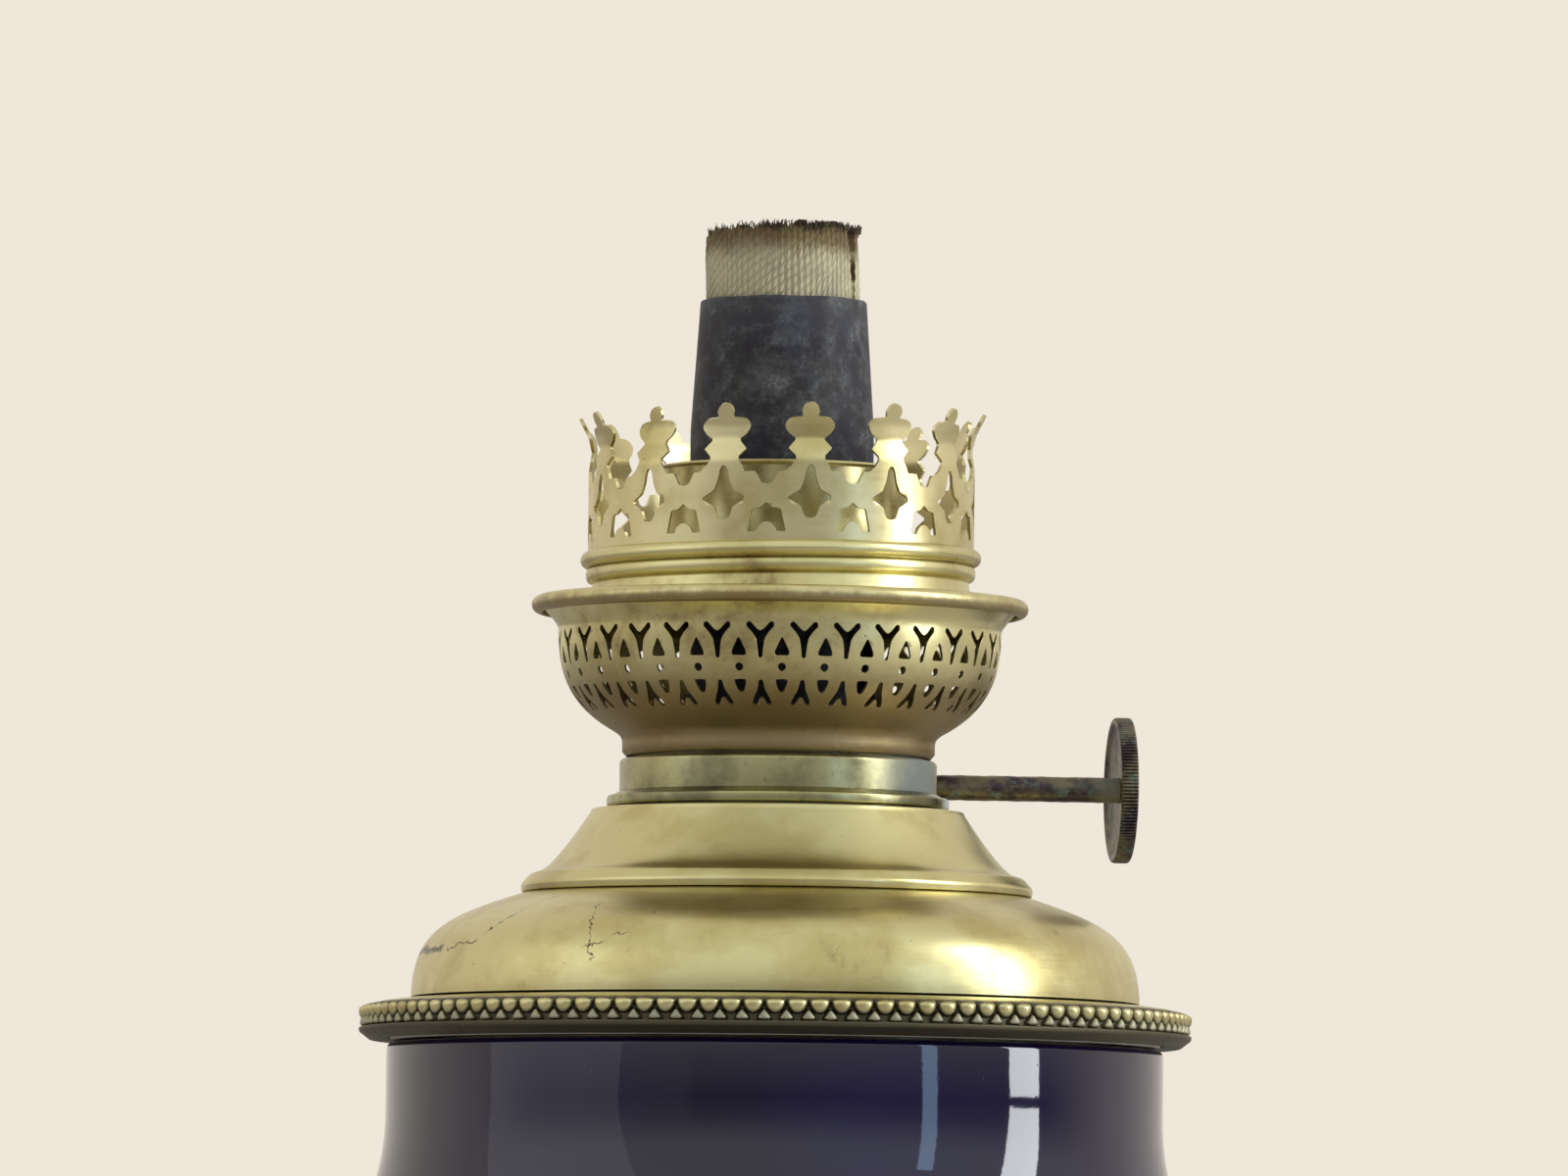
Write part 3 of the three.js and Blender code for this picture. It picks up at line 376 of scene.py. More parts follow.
domeCracks = [
    (-191, -163, 201.5, 201.2, 0.55), (-163, -152, 201.2, 202.2, 0.14), (-152, -146, 202.5, 209, 0.1),
    (-126, -130, 198.7, 207.6, 0.11), (-128.5, -123.5, 200.9, 201.6, 0.1), (-124, -119.5, 202.2, 203.4, 0.1),
    (-108, -108.5, 203, 205.5, 0.09), (-111.5, -112, 200.3, 202.8, 0.09), (-85, -86, 202.3, 207.5, 0.1),
    (-88.2, -85, 199, 202.3, 0.1),
]
# the drum's crust is spread wide and dark at its front right: partly real deposit, partly painted shade that tones
# down the highlight there
drumCrustAndShade = ((18.5, -11.5, 226.0), 12.5, (0.20, 0.225, 0.22))
flangeCrust = ((23.0, -5.0, 223.6), 6.5, (0.50, 0.54, 0.57))
finish = {
    "dome": brass("brassDome", 0.15, cracks=domeCracks),
    "cap": brass("brassCap", 0.05),
    "ring": brass("brassRing", 0.35, shadeAndGaps=ringShadeAndGaps),
    # painted shade on the basket's lower belly and under the gallery's roll
    "basket": brass("brassBasket", 0.45, shadeBelow=(236, 243, 0.95)),
    "gallery": brass("brassGallery", 0.35, shadeBelow=(249.6, 251.2, 0.8)),
    "crown": brass("brassCrown", 0.08, tint=(0.64, 0.57, 0.32)),
    "foot": brass("brassFoot", 0.35),
    "collar": brass("brassCollar", 0.3, shine=0.02),
    "drum": dullBrass("dullDrum", (0.36, 0.335, 0.175), drumCrustAndShade),
    "flange": dullBrass("dullFlange", (0.38, 0.355, 0.18), flangeCrust),
    "inner": dullBrass("dullInner", (0.30, 0.27, 0.16)),
    "spindle": oxidised("oxidisedSpindle", along=True),
    "wheel": oxidised("oxidisedWheel"),
    "tube": burntTube("burntTube"),
    "glaze": glaze("cobaltGlaze"),
    "biscuit": biscuit("bareCeramic"),
    "plaster": biscuit("limePlaster", (0.66, 0.63, 0.57), 0.8),
    "steel": plainSteel("plainSteel"),
    "cotton": cotton("wovenCotton"),
}
print("finishes mixed")

# forms


def ramp(values, start, length):  # 0 up to start, 1 from one length on
    return np.clip((values - start) / length, 0, 1)


def polar(radii, turns, heights):  # x, y and z of points round the axis
    return np.stack(np.broadcast_arrays(radii * np.cos(turns), radii * np.sin(turns), heights), -1)


def bezier(start, handleA, handleB, end, steps):
    t = np.linspace(0, 1, steps + 1)[:, None]
    a, b, c, d = (np.array(p, float) for p in (start, handleA, handleB, end))
    points = a * (1 - t) ** 3 + 3 * b * t * (1 - t) ** 2 + 3 * c * t ** 2 * (1 - t) + d * t ** 3
    return [tuple(p) for p in points]


def rounded(corners, closed=True, steps=5):  # a line whose corners (x, y, radius) are rounded
    line, spots = [], [np.array(corner[:2], float) for corner in corners]
    for i, (corner, here) in enumerate(zip(corners, spots)):
        atEnd = not closed and i in (0, len(corners) - 1)
        if len(corner) < 3 or atEnd:
            line.append(tuple(here))
            continue
        before, after = spots[i - 1] - here, spots[(i + 1) % len(spots)] - here
        sizes = np.linalg.norm(before), np.linalg.norm(after)
        before, after = before / sizes[0], after / sizes[1]
        half = math.acos(float(np.clip(before @ after, -1, 1))) / 2
        if half > math.pi / 2 - 0.002:  # already straight here
            line.append(tuple(here))
            continue
        reach = min(corner[2] / math.tan(half), 0.49 * sizes[0], 0.49 * sizes[1])
        radius = reach * math.tan(half)
        inward = (before + after) / np.linalg.norm(before + after)
        centre = here + inward * radius / math.sin(half)
        first = math.atan2(*(here + before * reach - centre)[::-1])
        last = math.atan2(*(here + after * reach - centre)[::-1])
        sweep = (last - first + math.pi) % (2 * math.pi) - math.pi
        for k in range(steps + 1):
            turn = first + sweep * k / steps
            line.append((centre[0] + radius * math.cos(turn), centre[1] + radius * math.sin(turn)))
    return line


def rising(line):  # without the points that don't climb
    return [p for i, p in enumerate(line) if i == 0 or p[1] > line[i - 1][1] + 1e-3]


def walled(path, wall):  # a closed outline: the path and the same path one wall to its left
    line = np.array([p for i, p in enumerate(path) if i == 0 or math.dist(p, path[i - 1]) > 1e-4], float)
    along = np.diff(line, axis=0)
    along /= np.linalg.norm(along, axis=1)[:, None]
    before, after = np.vstack([along[:1], along]), np.vstack([along, along[-1:]])
    middle = before + after
    middle /= np.linalg.norm(middle, axis=1)[:, None]
    left = np.stack([-middle[:, 1], middle[:, 0]], 1)
    stretch = 1 / np.maximum((middle * before).sum(1), 0.5)
    return [tuple(p) for p in [*line, *(line + left * wall * stretch[:, None])[::-1]]]


def cleaned(name, verts, faces, weld):  # a mesh with its doubles joined and its faces turned out
    mesh = bpy.data.meshes.new(name)
    mesh.from_pydata([tuple(v) for v in verts], [], faces)
    work = bmesh.new()
    work.from_mesh(mesh)
    bmesh.ops.remove_doubles(work, verts=work.verts, dist=weld)
    bmesh.ops.dissolve_degenerate(work, edges=work.edges, dist=1e-7)
    bmesh.ops.recalc_face_normals(work, faces=work.faces)
    work.to_mesh(mesh)
    work.free()
    return mesh


def smoothed(mesh, sharp):  # smooth, but for edges over this angle
    mesh.shade_smooth()
    mesh.set_sharp_from_angle(angle=math.radians(sharp))


def piece(name, verts, faces, look, body, nodes=(), sharp=35, weld=2e-6):
    mesh = cleaned(name, verts, faces, weld)
    smoothed(mesh, sharp)
    mesh.materials.append(finish[look])
    thing = placed(name, mesh)
    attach(thing, body)
    if nodes:
        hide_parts(*nodes)
    return thing


def spunGrid(outline, sides, radiusOf=None):  # a closed outline turned round Z
    points = np.array(outline, float)
    turns = np.arange(sides) * 2 * math.pi / sides
    radii = np.repeat(points[None, :, 0], sides, 0)
    heights = np.repeat(points[None, :, 1], sides, 0)
    if radiusOf:
        radii, heights = radiusOf(turns[:, None], radii, heights)
    count, faces = len(points), []
    for i in range(sides):
        here, beside = i * count, (i + 1) % sides * count
        for j in range(count):
            k = (j + 1) % count
            faces.append((here + j, beside + j, beside + k, here + k))
    return polar(radii, turns[:, None], heights).reshape(-1, 3) * mm, faces


def spun(name, outline, look, body, nodes, sides=192, radiusOf=None, place=None, sharp=35):
    verts, faces = spunGrid(outline, sides, radiusOf)
    if place:
        verts = place(verts)
    return piece(name, verts, faces, look, body, nodes, sharp)


def carve(thing, *cutters):  # cut blocks or rods out of a piece
    for verts, faces in cutters:
        cutter = placed("cutter", cleaned("cutter", verts, faces, 1e-7))
        boolean = thing.modifiers.new("cut", "BOOLEAN")
        boolean.operation, boolean.object, boolean.solver = "DIFFERENCE", cutter, "EXACT"
        bpy.context.view_layer.update()
        cut = bpy.data.meshes.new_from_object(thing.evaluated_get(bpy.context.evaluated_depsgraph_get()))
        thing.modifiers.clear()
        smoothed(cut, 35)
        thing.data = cut
        bpy.data.objects.remove(cutter)


def blockMesh(low, high, turn=0):  # corners in mm, turned round the lamp's axis
    xs, ys, zs = zip(low, high)
    turned = Matrix.Rotation(math.radians(turn), 3, "Z")
    verts = [turned @ Vector((x, y, z)) * mm for x in xs for y in ys for z in zs]
    return verts, [(0, 1, 3, 2), (4, 6, 7, 5), (0, 4, 5, 1), (2, 3, 7, 6), (0, 2, 6, 4), (1, 5, 7, 3)]


def sway(amount, waves, seed):  # a slight out-of-round of old spun metal
    phase = seed * 1.3

    def radiusOf(turns, radii, heights):
        return radii - amount * (1 + np.sin(turns * waves + phase)) / 2, heights

    return radiusOf


# body. Outlines hold (radius, height, rounding) in mm, and curves a start, two handles and an end

vase = {
    "top": 188.7, "mouth": 54.3, "neck": 180.5, "shoulder": [(73, 155), (53.6, 156)],
    "belly": 73.0, "bellyHeight": 117.0, "lower": [(40, 61), (73, 77)], "base": 38.5, "baseTop": 29.3,
    "bottom": 26.3, "floor": 32.3, "bore": 3.3, "wall": 4.5,
    "rimGlaze": 187, "bareBelow": 26.7, "bareWithin": 36,
}
foot = {
    "hem": [(55, 0.0), (55, 2.5, 0.9), (53.6, 3.3, 0.3)],
    "torus": [(53.4, 3.4), (53.2, 6.8), (50.4, 8.8), (47, 8.8)],
    "hollow": [(47, 8.8), (43.6, 8.8), (41, 14.4), (41, 19.4)],
    "bead": [(41, 19.4, 0.3), (42.7, 19.6, 1.1), (42.7, 22.3, 1.1), (41, 22.6, 0.3), (41, 26, 0.5), (3.3, 26)],
    "ring": [(38.8, 26.3), (41.2, 26.3, 0.9), (41.2, 30.5, 0.9), (38.8, 30.5, 0.3)], "wall": 1.1,
}
mouthRing = {
    "beads": 120, "columns": 14, "outer": 58.2, "base": 57.05, "band": (190.95, 193.3),
    "under": [(50.0, 191.2), (54.2, 189.3, 0.5), (56.6, 189.0, 0.6), (58.1, 190.15, 0.4), (58.2, 190.75, 0.2)],
    "over": [(55.2, 194.35), (53, 194.65), (50.0, 194.85)],
    "large": (1.15, 0.5, 193.1, 0.95, 1.35, 0.47, -1, 0.75, 1.8),  # in the order that beadRow reads
    "small": (0.95, 0.0, 191.3, 1.15, 0.45, 0.34, 1, 0.85, 1.0),
}


def makeVase():
    v = vase
    belly, neck, base = (v["belly"], v["bellyHeight"]), (v["mouth"], v["neck"]), (v["base"], v["baseTop"])
    shoulder = bezier(belly, *v["shoulder"], neck, 26)
    lower = bezier(base, *v["lower"], belly, 26)
    heel = rounded([(v["base"] - 1.2, v["bottom"]), (v["base"], v["bottom"], 0.6), base], False)
    rim = rounded([neck, (v["mouth"], v["top"], 1.4), (v["mouth"] - 2, v["top"])], False)
    outline = heel + lower[1:] + shoulder[1:] + rim[1:]
    inner = walled([*lower[2:], *shoulder[1:], (v["mouth"], v["top"])], v["wall"])
    hollow = [p for p in inner[len(inner) // 2:] if p[1] > v["bottom"] + 9]
    outline += [(v["mouth"] - v["wall"], v["top"])] + hollow[1:]
    outline += [(30, v["floor"]), (v["bore"], v["floor"]), (v["bore"], v["bottom"])]
    shell = spun("vaseShell", outline, "glaze", "base", ["ceramic_vase"], 256)
    shell.data.materials.append(finish["biscuit"])
    for face in shell.data.polygons:  # bare inside and underneath
        middle = face.center / mm
        inward = face.normal.x * middle.x + face.normal.y * middle.y < 0
        bare = inward or middle.z < v["bareBelow"] or math.hypot(middle.x, middle.y) < v["bareWithin"]
        if bare and middle.z < v["rimGlaze"]:
            face.material_index = 1


def makeFoot():
    f = foot
    torus, hollow = bezier(*f["torus"], 10), bezier(*f["hollow"], 14)
    path = rounded(f["hem"], False) + torus + hollow[1:] + rounded(f["bead"], False)
    ends = [corner[:2] for corner in f["hem"][:2] + f["bead"][-2:]]
    back = walled(ends[:2] + torus[8:] + hollow[1:] + ends[2:], f["wall"])
    spun("footShell", path + back[len(back) // 2:], "foot", "base", ["brass_foot"], 224)
    spun("footRingShell", rounded(f["ring"]), "foot", "base", ["foot_ring"], 192)


def beadRow(turns, heights, row):  # how far one row of drops stands proud of the band
    proud, shift, middle, up, down, width, points, taper, power = row
    across = (turns * mouthRing["beads"] / (2 * math.pi) + shift) % 1 - 0.5
    level = (heights - middle) / np.where(heights > middle, up, down)
    point = np.maximum(level * points, 0)  # narrower at this end
    width = np.maximum(width * (1 - taper * point ** power), 0.02)
    return proud * np.clip(1 - (across / width) ** 2, 0, 1) ** 0.5 * np.clip(1 - np.abs(level) ** 2.4, 0, 1) ** 0.5


def makeRing():
    r = mouthRing
    base, (low, high) = r["base"], r["band"]
    under = rounded([*r["under"], (base, 190.9, 0.1)], False, 4)
    zone = [(base, z) for z in np.linspace(low, high, 26)]
    zone += [(base - 1.1 * t ** 2, high + 0.85 * t) for t in np.linspace(0.1, 1, 9)]  # bends in over the beads

    def radiusOf(turns, radii, heights):
        around = turns + 0 * radii
        proud = beadRow(around, heights, r["large"]) + beadRow(around, heights, r["small"])
        return np.minimum(radii + proud * (radii > base - 1.15) * (heights > low - 0.03), r["outer"]), heights

    spun("beadedShell", under + zone + r["over"], "ring", "base", ["beaded_ring"],
         r["beads"] * r["columns"], radiusOf, sharp=60)


makeVase()
makeFoot()
makeRing()
print("body made")

# fount

fount = {
    "domeRim": [(50.95, 195.1), (50.95, 195.6)], "domeSeat": [(33, 209.8), (30, 209.8)],
    "dome": [(50.95, 196.0), (50.45, 204.7), (45.6, 206.5), (35.5, 209.8)],
    "step": [(34.6, 209.87, 0.1), (35.65, 209.9, 0.25), (35.85, 211.0, 0.8), (34.5, 212.5, 1.6),
             (33.1, 212.9, 0.5)],
    "ogee": [(33.0, 212.95), (31.2, 213.9), (28.2, 218.2), (26.15, 221.3)],
    "lip": [(26.15, 221.3), (26.0, 221.7, 0.3), (22.6, 221.7)],
    "bowl": [(0.01, 89.2), (33, 89.2, 6), (46.5, 90.5, 13), (46.5, 190.8, 3), (49.85, 195.0)], "wall": 0.8,
}


def makeFount():
    f = fount
    wall = f["wall"]
    dome = walled(f["domeRim"] + bezier(*f["dome"], 30) + f["domeSeat"], wall)
    spun("domeShell", dome, "dome", "fount", ["fount_dome"], 256, sway(0.12, 3, 1))
    cap = [(34.2, 209.87)] + rounded(f["step"], False, 8)
    cap += bezier(*f["ogee"], 22)[1:] + rounded(f["lip"], False)[1:]
    spun("capShell", walled(cap, wall), "cap", "fount", ["fount_cap"], 224, sway(0.08, 2, 4))
    bowl = walled(rounded(f["bowl"], False, 9), wall)
    spun("bowlShell", bowl, "inner", "fount", ["fount_bowl"], 160)


makeFount()
print("fount made")

# burner and winder

burner = {
    "flange": [
        (19.6, 214.0), (19.6, 222.6), (22.6, 222.6), (22.6, 222.0), (23.95, 222.0, 0.4), (23.95, 223.55, 0.5),
        (23.1, 223.65, 0.1), (22.35, 224.1, 0.1), (21.0, 224.1), (18.8, 224.0), (18.8, 215.0),
        (13.2, 215.0), (13.2, 214.0),
    ],
    "drum": [(22.2, 224.15), (22.2, 228.8, 0.7), (20.45, 228.8, 0.15), (20.45, 231.9)], "wall": 0.5,
    "rodHole": [(0, 0), (1.9, 0), (1.9, 26), (0, 26)], "rodNotch": [(0, 13.0, 222), (26, 16.8, 226.1)],
}
tube = {
    "bottom": 212.0, "top": 293.3, "low": 12.9, "high": 11.7, "shoulder": 275.0, "wall": 0.6,
    "wheels": (-2.2, 2.2), "port": [(8.8, -4.3, 232.8), (14.9, 4.3, 247.4)],
}
winder = {"y": 14.9, "z": 226.1, "rod": 1.68, "from": -6.6, "to": 51.3, "bracket": 20, "thick": 1.06, "thin": 0.97}
wheel = {
    "radius": 10.3, "hole": 1.85, "near": 49.2, "far": 51.6, "knurls": 128, "depth": 0.28, "edge": 0.35,
    "bore": 8.7, "dish": 0.85,
}


def toWinder(verts):  # from a shape round Z to one round the spindle
    return np.stack([verts[:, 2], verts[:, 0] + winder["y"] * mm, verts[:, 1] + winder["z"] * mm], 1)


def makeBurner():
    b = burner
    spun("flangeShell", rounded(b["flange"]), "flange", "burner", ["burner_base"], 192)
    path = rounded(b["drum"], False)
    drum = spun("drumShell", walled(path, b["wall"]), "drum", "burner", ["burner_drum"], 192)
    verts, faces = spunGrid(b["rodHole"], 48)
    carve(drum, (toWinder(verts), faces), blockMesh(*b["rodNotch"]))


def makeTube():
    t = tube
    top = [(t["high"], t["top"] - 0.25, 0.3), (t["high"] - 0.25, t["top"])]
    path = rounded([(t["low"], t["bottom"]), (t["low"], t["shoulder"], 20), *top], False, 8)

    def radiusOf(turns, radii, heights):  # a little out of round, with an uneven top edge
        edge = heights > t["top"] - 1
        waves = 1 + np.sin(turns * 5) * np.sin(turns * 3 + 2)
        return radii - 0.05 * (1 + np.sin(turns * 2 + 1)) / 2, heights - edge * 0.1 * waves

    outer = spun("wickTubeShell", walled(path, t["wall"]), "tube", "burner", ["outer_wick_tube"],
                 160, radiusOf)
    slots = [blockMesh((x - 0.8, 10.8, 222.0), (x + 0.8, 14.9, 230.2)) for x in t["wheels"]]
    carve(outer, *slots, blockMesh(*t["port"], ductTurn))


def makeWinder():
    w = winder
    rodLine = rounded([(0, w["from"]), (w["rod"], w["from"], 0.3), (w["rod"], w["to"], 0.4), (0, w["to"])], False)
    rodLine = rodLine[:6] + [(w["rod"], z) for z in np.linspace(16, 48, 40)] + rodLine[6:]

    def radiusOf(turns, radii, heights):
        outside = heights > w["bracket"]
        pitting = 0.05 * np.sin(heights * 1.9 + 2 * np.sin(turns * 2)) * np.sin(turns * 3 + heights * 0.8)
        swollen = np.where(radii > 1.2, radii * np.where(outside, w["thick"], w["thin"]), radii)
        return swollen + pitting * (radii > 1.5) * outside * (heights < 48.5), heights

    spun("spindleShell", rodLine, "spindle", "winder", ["winder_spindle"], 48, radiusOf, toWinder)


def makeWheel():
    h = wheel
    low, high, radius, bore = h["near"], h["far"], h["radius"], h["bore"]
    outline = rounded([
        (h["hole"], low + h["dish"]), (6.0, low + h["dish"], 4), (bore, low + 0.5, 2), (bore + 0.8, low, 0.3),
        (radius - 0.1, low, 0.35), (radius, low + 0.45), (radius, high - 0.45), (radius - 0.1, high, 0.35),
        (bore + 0.25, high, 0.25), (bore, high - 0.3, 0.3), (h["hole"], high - 0.3),
    ])

    def knurl(turns, radii, heights):
        groove = np.abs(np.sin(turns * h["knurls"] / 2)) ** 0.7
        return radii - h["depth"] * (1 - groove) * ramp(radii, radius - h["edge"], h["edge"]), heights

    spun("thumbwheelShell", outline, "wheel", "winder", ["thumbwheel"], h["knurls"] * 10,
         knurl, toWinder, sharp=50)


makeBurner()
makeTube()
makeWinder()
makeWheel()
print("burner and winder made")

# pierced sheets


def inside(points, outline):
    shape = np.array(outline)
    x, y = points[:, 0], points[:, 1]
    hit = np.zeros(len(points), bool)
    for (ax, ay), (bx, by) in zip(shape, np.roll(shape, -1, 0)):
        crosses = (ay > y) != (by > y)
        with np.errstate(divide="ignore", invalid="ignore"):
            hit ^= crosses & (x < (bx - ax) * (y - ay) / (by - ay) + ax)
    return hit


def onSheet(points, edge, holes):
    return inside(points, edge) & ~np.any([inside(points, hole) for hole in holes], axis=0)


def mirrored(half):  # a closed outline from its right half, from the bottom up
    return half + [(-x, *rest) for x, *rest in reversed(half) if abs(x) > 1e-9]


def moved(outline, across):
    return [(x + across, y) for x, y in outline]


def sideLine(x, low, high, step):
    count = max(2, round((high - low) / step))
    return [(x, low + (high - low) * k / count) for k in range(count + 1)]


def sheetUnit(edge, holes, step):  # flat triangles of one unit, in mm
    loops = [edge, *holes]
    points = [p for loop in loops for p in loop]
    borders, start = [], 0
    for loop in loops:
        borders += [(start + i, start + (i + 1) % len(loop)) for i in range(len(loop))]
        start += len(loop)
    low, high = np.min(points, 0), np.max(points, 0)
    xs, ys = (np.arange(low[i] + step / 2, high[i], step) for i in (0, 1))
    grid = np.array([(x, y) for x in xs for y in ys])
    near = np.min(np.linalg.norm(grid[:, None] - np.array(points)[None], axis=2), 1)
    grid = grid[onSheet(grid, edge, holes) & (near > step * 0.45)]
    made = geometry.delaunay_2d_cdt([Vector(p) for p in [*points, *map(tuple, grid)]], borders, [], 0, 1e-5)
    verts, faces = np.array([tuple(v) for v in made[0]]), [tuple(f) for f in made[2]]
    middles = np.array([verts[list(f)].mean(0) for f in faces])
    return verts, [f for f, good in zip(faces, onSheet(middles, edge, holes)) if good]


def bentSheet(unit, sheet, profile, leanOf=None):  # all units round the lamp, with a back and edges
    flat, triangles = unit
    heights, radii = np.array(profile).T[::-1]
    slope = np.gradient(radii, heights)
    r, s = np.interp(flat[:, 1], heights, radii), np.interp(flat[:, 1], heights, slope)
    size = np.sqrt(1 + s * s)
    front, back, faces = [], [], []
    for k in range(sheet["units"]):
        lean = leanOf(k, flat[:, 1]) if leanOf else 0
        turn = math.radians(sheet["phase"]) + (flat[:, 0] / sheet["pitch"] + k) * 2 * math.pi / sheet["units"]
        for side, depth in ((front, 0), (back, sheet["wall"])):
            radius = r + lean - depth / size
            level = flat[:, 1] + depth * s / size
            side.append(polar(radius, turn, level))
        faces += [tuple(i + k * len(flat) for i in f) for f in triangles]
    front, back = np.concatenate(front), np.concatenate(back)
    spots = np.round(front * 500).astype(int)  # joins the units where they meet
    first, where = np.unique(spots, axis=0, return_index=True, return_inverse=True)[1:]
    where = where.ravel()
    faces = [tuple(int(where[i]) for i in f) for f in faces]
    faces = [f for f in faces if len(set(f)) == 3]
    front, back = front[first], back[first]
    count = len(front)
    uses = dict.fromkeys(pair for a, b, c in faces for pair in ((a, b), (b, c), (c, a)))
    walls = [(b, a, a + count, b + count) for a, b in uses if (b, a) not in uses]
    faces = faces + [(c + count, b + count, a + count) for a, b, c in faces] + walls
    return np.concatenate([front, back]) * mm, faces


def soften(thing, width=0.07):  # in mm
    bevel = thing.modifiers.new("soften", "BEVEL")
    bevel.width, bevel.segments = width * mm, 1
    bevel.limit_method, bevel.angle_limit = "ANGLE", math.radians(55)


basket = {
    "wall": 0.45, "units": 32, "phase": -101, "pitch": 6.09, "step": 0.62, "edge": 0.31,
    "neck": [(21.3, 229.1), (21.9, 229.7, 0.4), (21.9, 231.7, 0.8), (22.6, 232.4)],
    "belly": [(22.6, 232.4), (28.8, 235.6), (31.1, 240.0), (31.0, 246.6)],
    "flare": [(31.0, 246.6), (31.0, 247.2, 0.5), (32.3, 248.9, 1.5), (33.7, 250.2)],
    "wye": [(0, 241.46, 0.2), (0.27, 241.46, 0.2), (0.42, 242.9, 3), (0.62, 244.1, 1.5), (1.15, 244.95, 2),
            (2.12, 246.0, 0.4), (1.54, 246.6, 0.4), (0.5, 245.45, 0.5), (0, 245.1, 0.3)],
    "invertedWye": [(0, 236.09, 0.3), (0.3, 235.98, 0.3), (0.78, 235.2, 0.15), (1.5, 235.1, 0.2), (1.5, 235.5, 0.3),
                    (1.02, 236.4, 1.5), (0.58, 237.1, 1.5), (0.28, 238.42, 0.15), (0, 238.47)],
    "ogive": [(0, 241.78), (1.05, 241.78, 0.25), (0.98, 242.4, 0.8), (0.66, 243.1, 1.5), (0, 244.4, 0.12)],
    "wedge": [(0, 236.72, 0.3), (0.42, 236.92, 0.35), (0.78, 237.8, 0.8), (0.9, 238.5, 0.2), (0, 238.57)],
    "hole": 0.58, "holeHeight": 240.2,
}


def makeBasket():
    b = basket
    low, high, pitch = b["neck"][0][1], b["flare"][-1][1], b["pitch"]
    profile = rising(rounded(b["neck"], False) + bezier(*b["belly"], 40)[1:] + rounded(b["flare"], False)[1:])
    ends = (b["edge"] - 1) * pitch, b["edge"] * pitch
    left, right = (sideLine(x, low, high, b["step"]) for x in ends)
    across = np.linspace(*ends, 9)[1:-1]
    edge = [(x, low) for x in [ends[0], *across]] + right + [(x, high) for x in across[::-1]] + left[::-1][:-1]
    around = np.linspace(0, 2 * math.pi, 12, endpoint=False)
    hole = [(b["hole"] * math.cos(a), b["holeHeight"] + b["hole"] * math.sin(a)) for a in around]
    ogive, wedge = (rounded(mirrored(b[cell]), steps=3) for cell in ("ogive", "wedge"))
    cells = [rounded(mirrored(b["wye"]), steps=4), rounded(mirrored(b["invertedWye"]), steps=3)]
    cells += [moved(cell, -pitch / 2) for cell in (ogive, hole, wedge)]
    verts, faces = bentSheet(sheetUnit(edge, cells, b["step"]), b, profile)
    shell = piece("basketShell", verts, faces, "basket", "gallery", ["pierced_basket"], sharp=45)
    soften(shell)


crown = {
    "wall": 0.45, "units": 14, "phase": -87.5, "pitch": 12.14, "step": 0.5, "edge": 0.2385, "shoulder": 267.5,
    "profile": [(27.05, 258.05), (27.05, 269.35, 0.35), (26.6, 272.0, 0.35), (27.1, 274.2, 3), (28.5, 277.05)],
    "notch": [(-1.65, 267.5), (-1.3, 266.9, 0.6), (-0.8, 265.9, 0.6), (0, 265.7, 0.6), (0.8, 265.9, 0.6),
              (1.3, 266.9, 0.6), (1.65, 267.5, 0.4)],
    "prong": [(-3.6, 267.5, 1.0), (-2.6, 268.3, 0.8), (-2.05, 269.2, 0.8), (-2.0, 269.6, 0.4), (-3.1, 270.7, 0.12),
              (-1.95, 272.0, 0.3), (-3.0, 272.75, 0.8), (-3.8, 273.9, 0.8), (-2.8, 274.85, 1.3),
              (-1.05, 275.0, 0.15), (-1.25, 275.8, 0.6), (-1.0, 276.4, 0.5), (-0.55, 276.82, 0.5), (0, 276.95, 0.6)],
    "star": [(0, 260.95, 0.6), (0.75, 261.1, 0.6), (1.15, 262.0, 0.6), (1.3, 262.65, 0.6), (3.35, 263.8, 0.25),
             (1.45, 264.9, 0.8), (0.9, 266.2, 2), (0.6, 267.7, 0.6), (0.3, 268.3, 0.25), (0, 268.35)],
    "arch": [(2.7, 259.15, 0.1), (2.0, 262.3, 0.3), (0.85, 262.5, 0.4), (0, 263.2, 0.15), (-0.85, 262.5, 0.4),
             (-2.0, 262.3, 0.3), (-2.7, 259.15, 0.1), (-1.45, 259.15, 0.1), (-1.1, 259.9, 0.6), (-0.55, 260.4, 0.5),
             (0, 260.5, 0.5), (0.55, 260.4, 0.5), (1.1, 259.9, 0.6), (1.45, 259.15, 0.1)],
    "bend": 0.3, "bendFrom": 269.0, "leans": {0: -1.2, 1: -0.3, 2: -0.6, 12: -2.6, 13: -1.9},
    "crook": 0.0152, "crookFrom": 251.6,
}


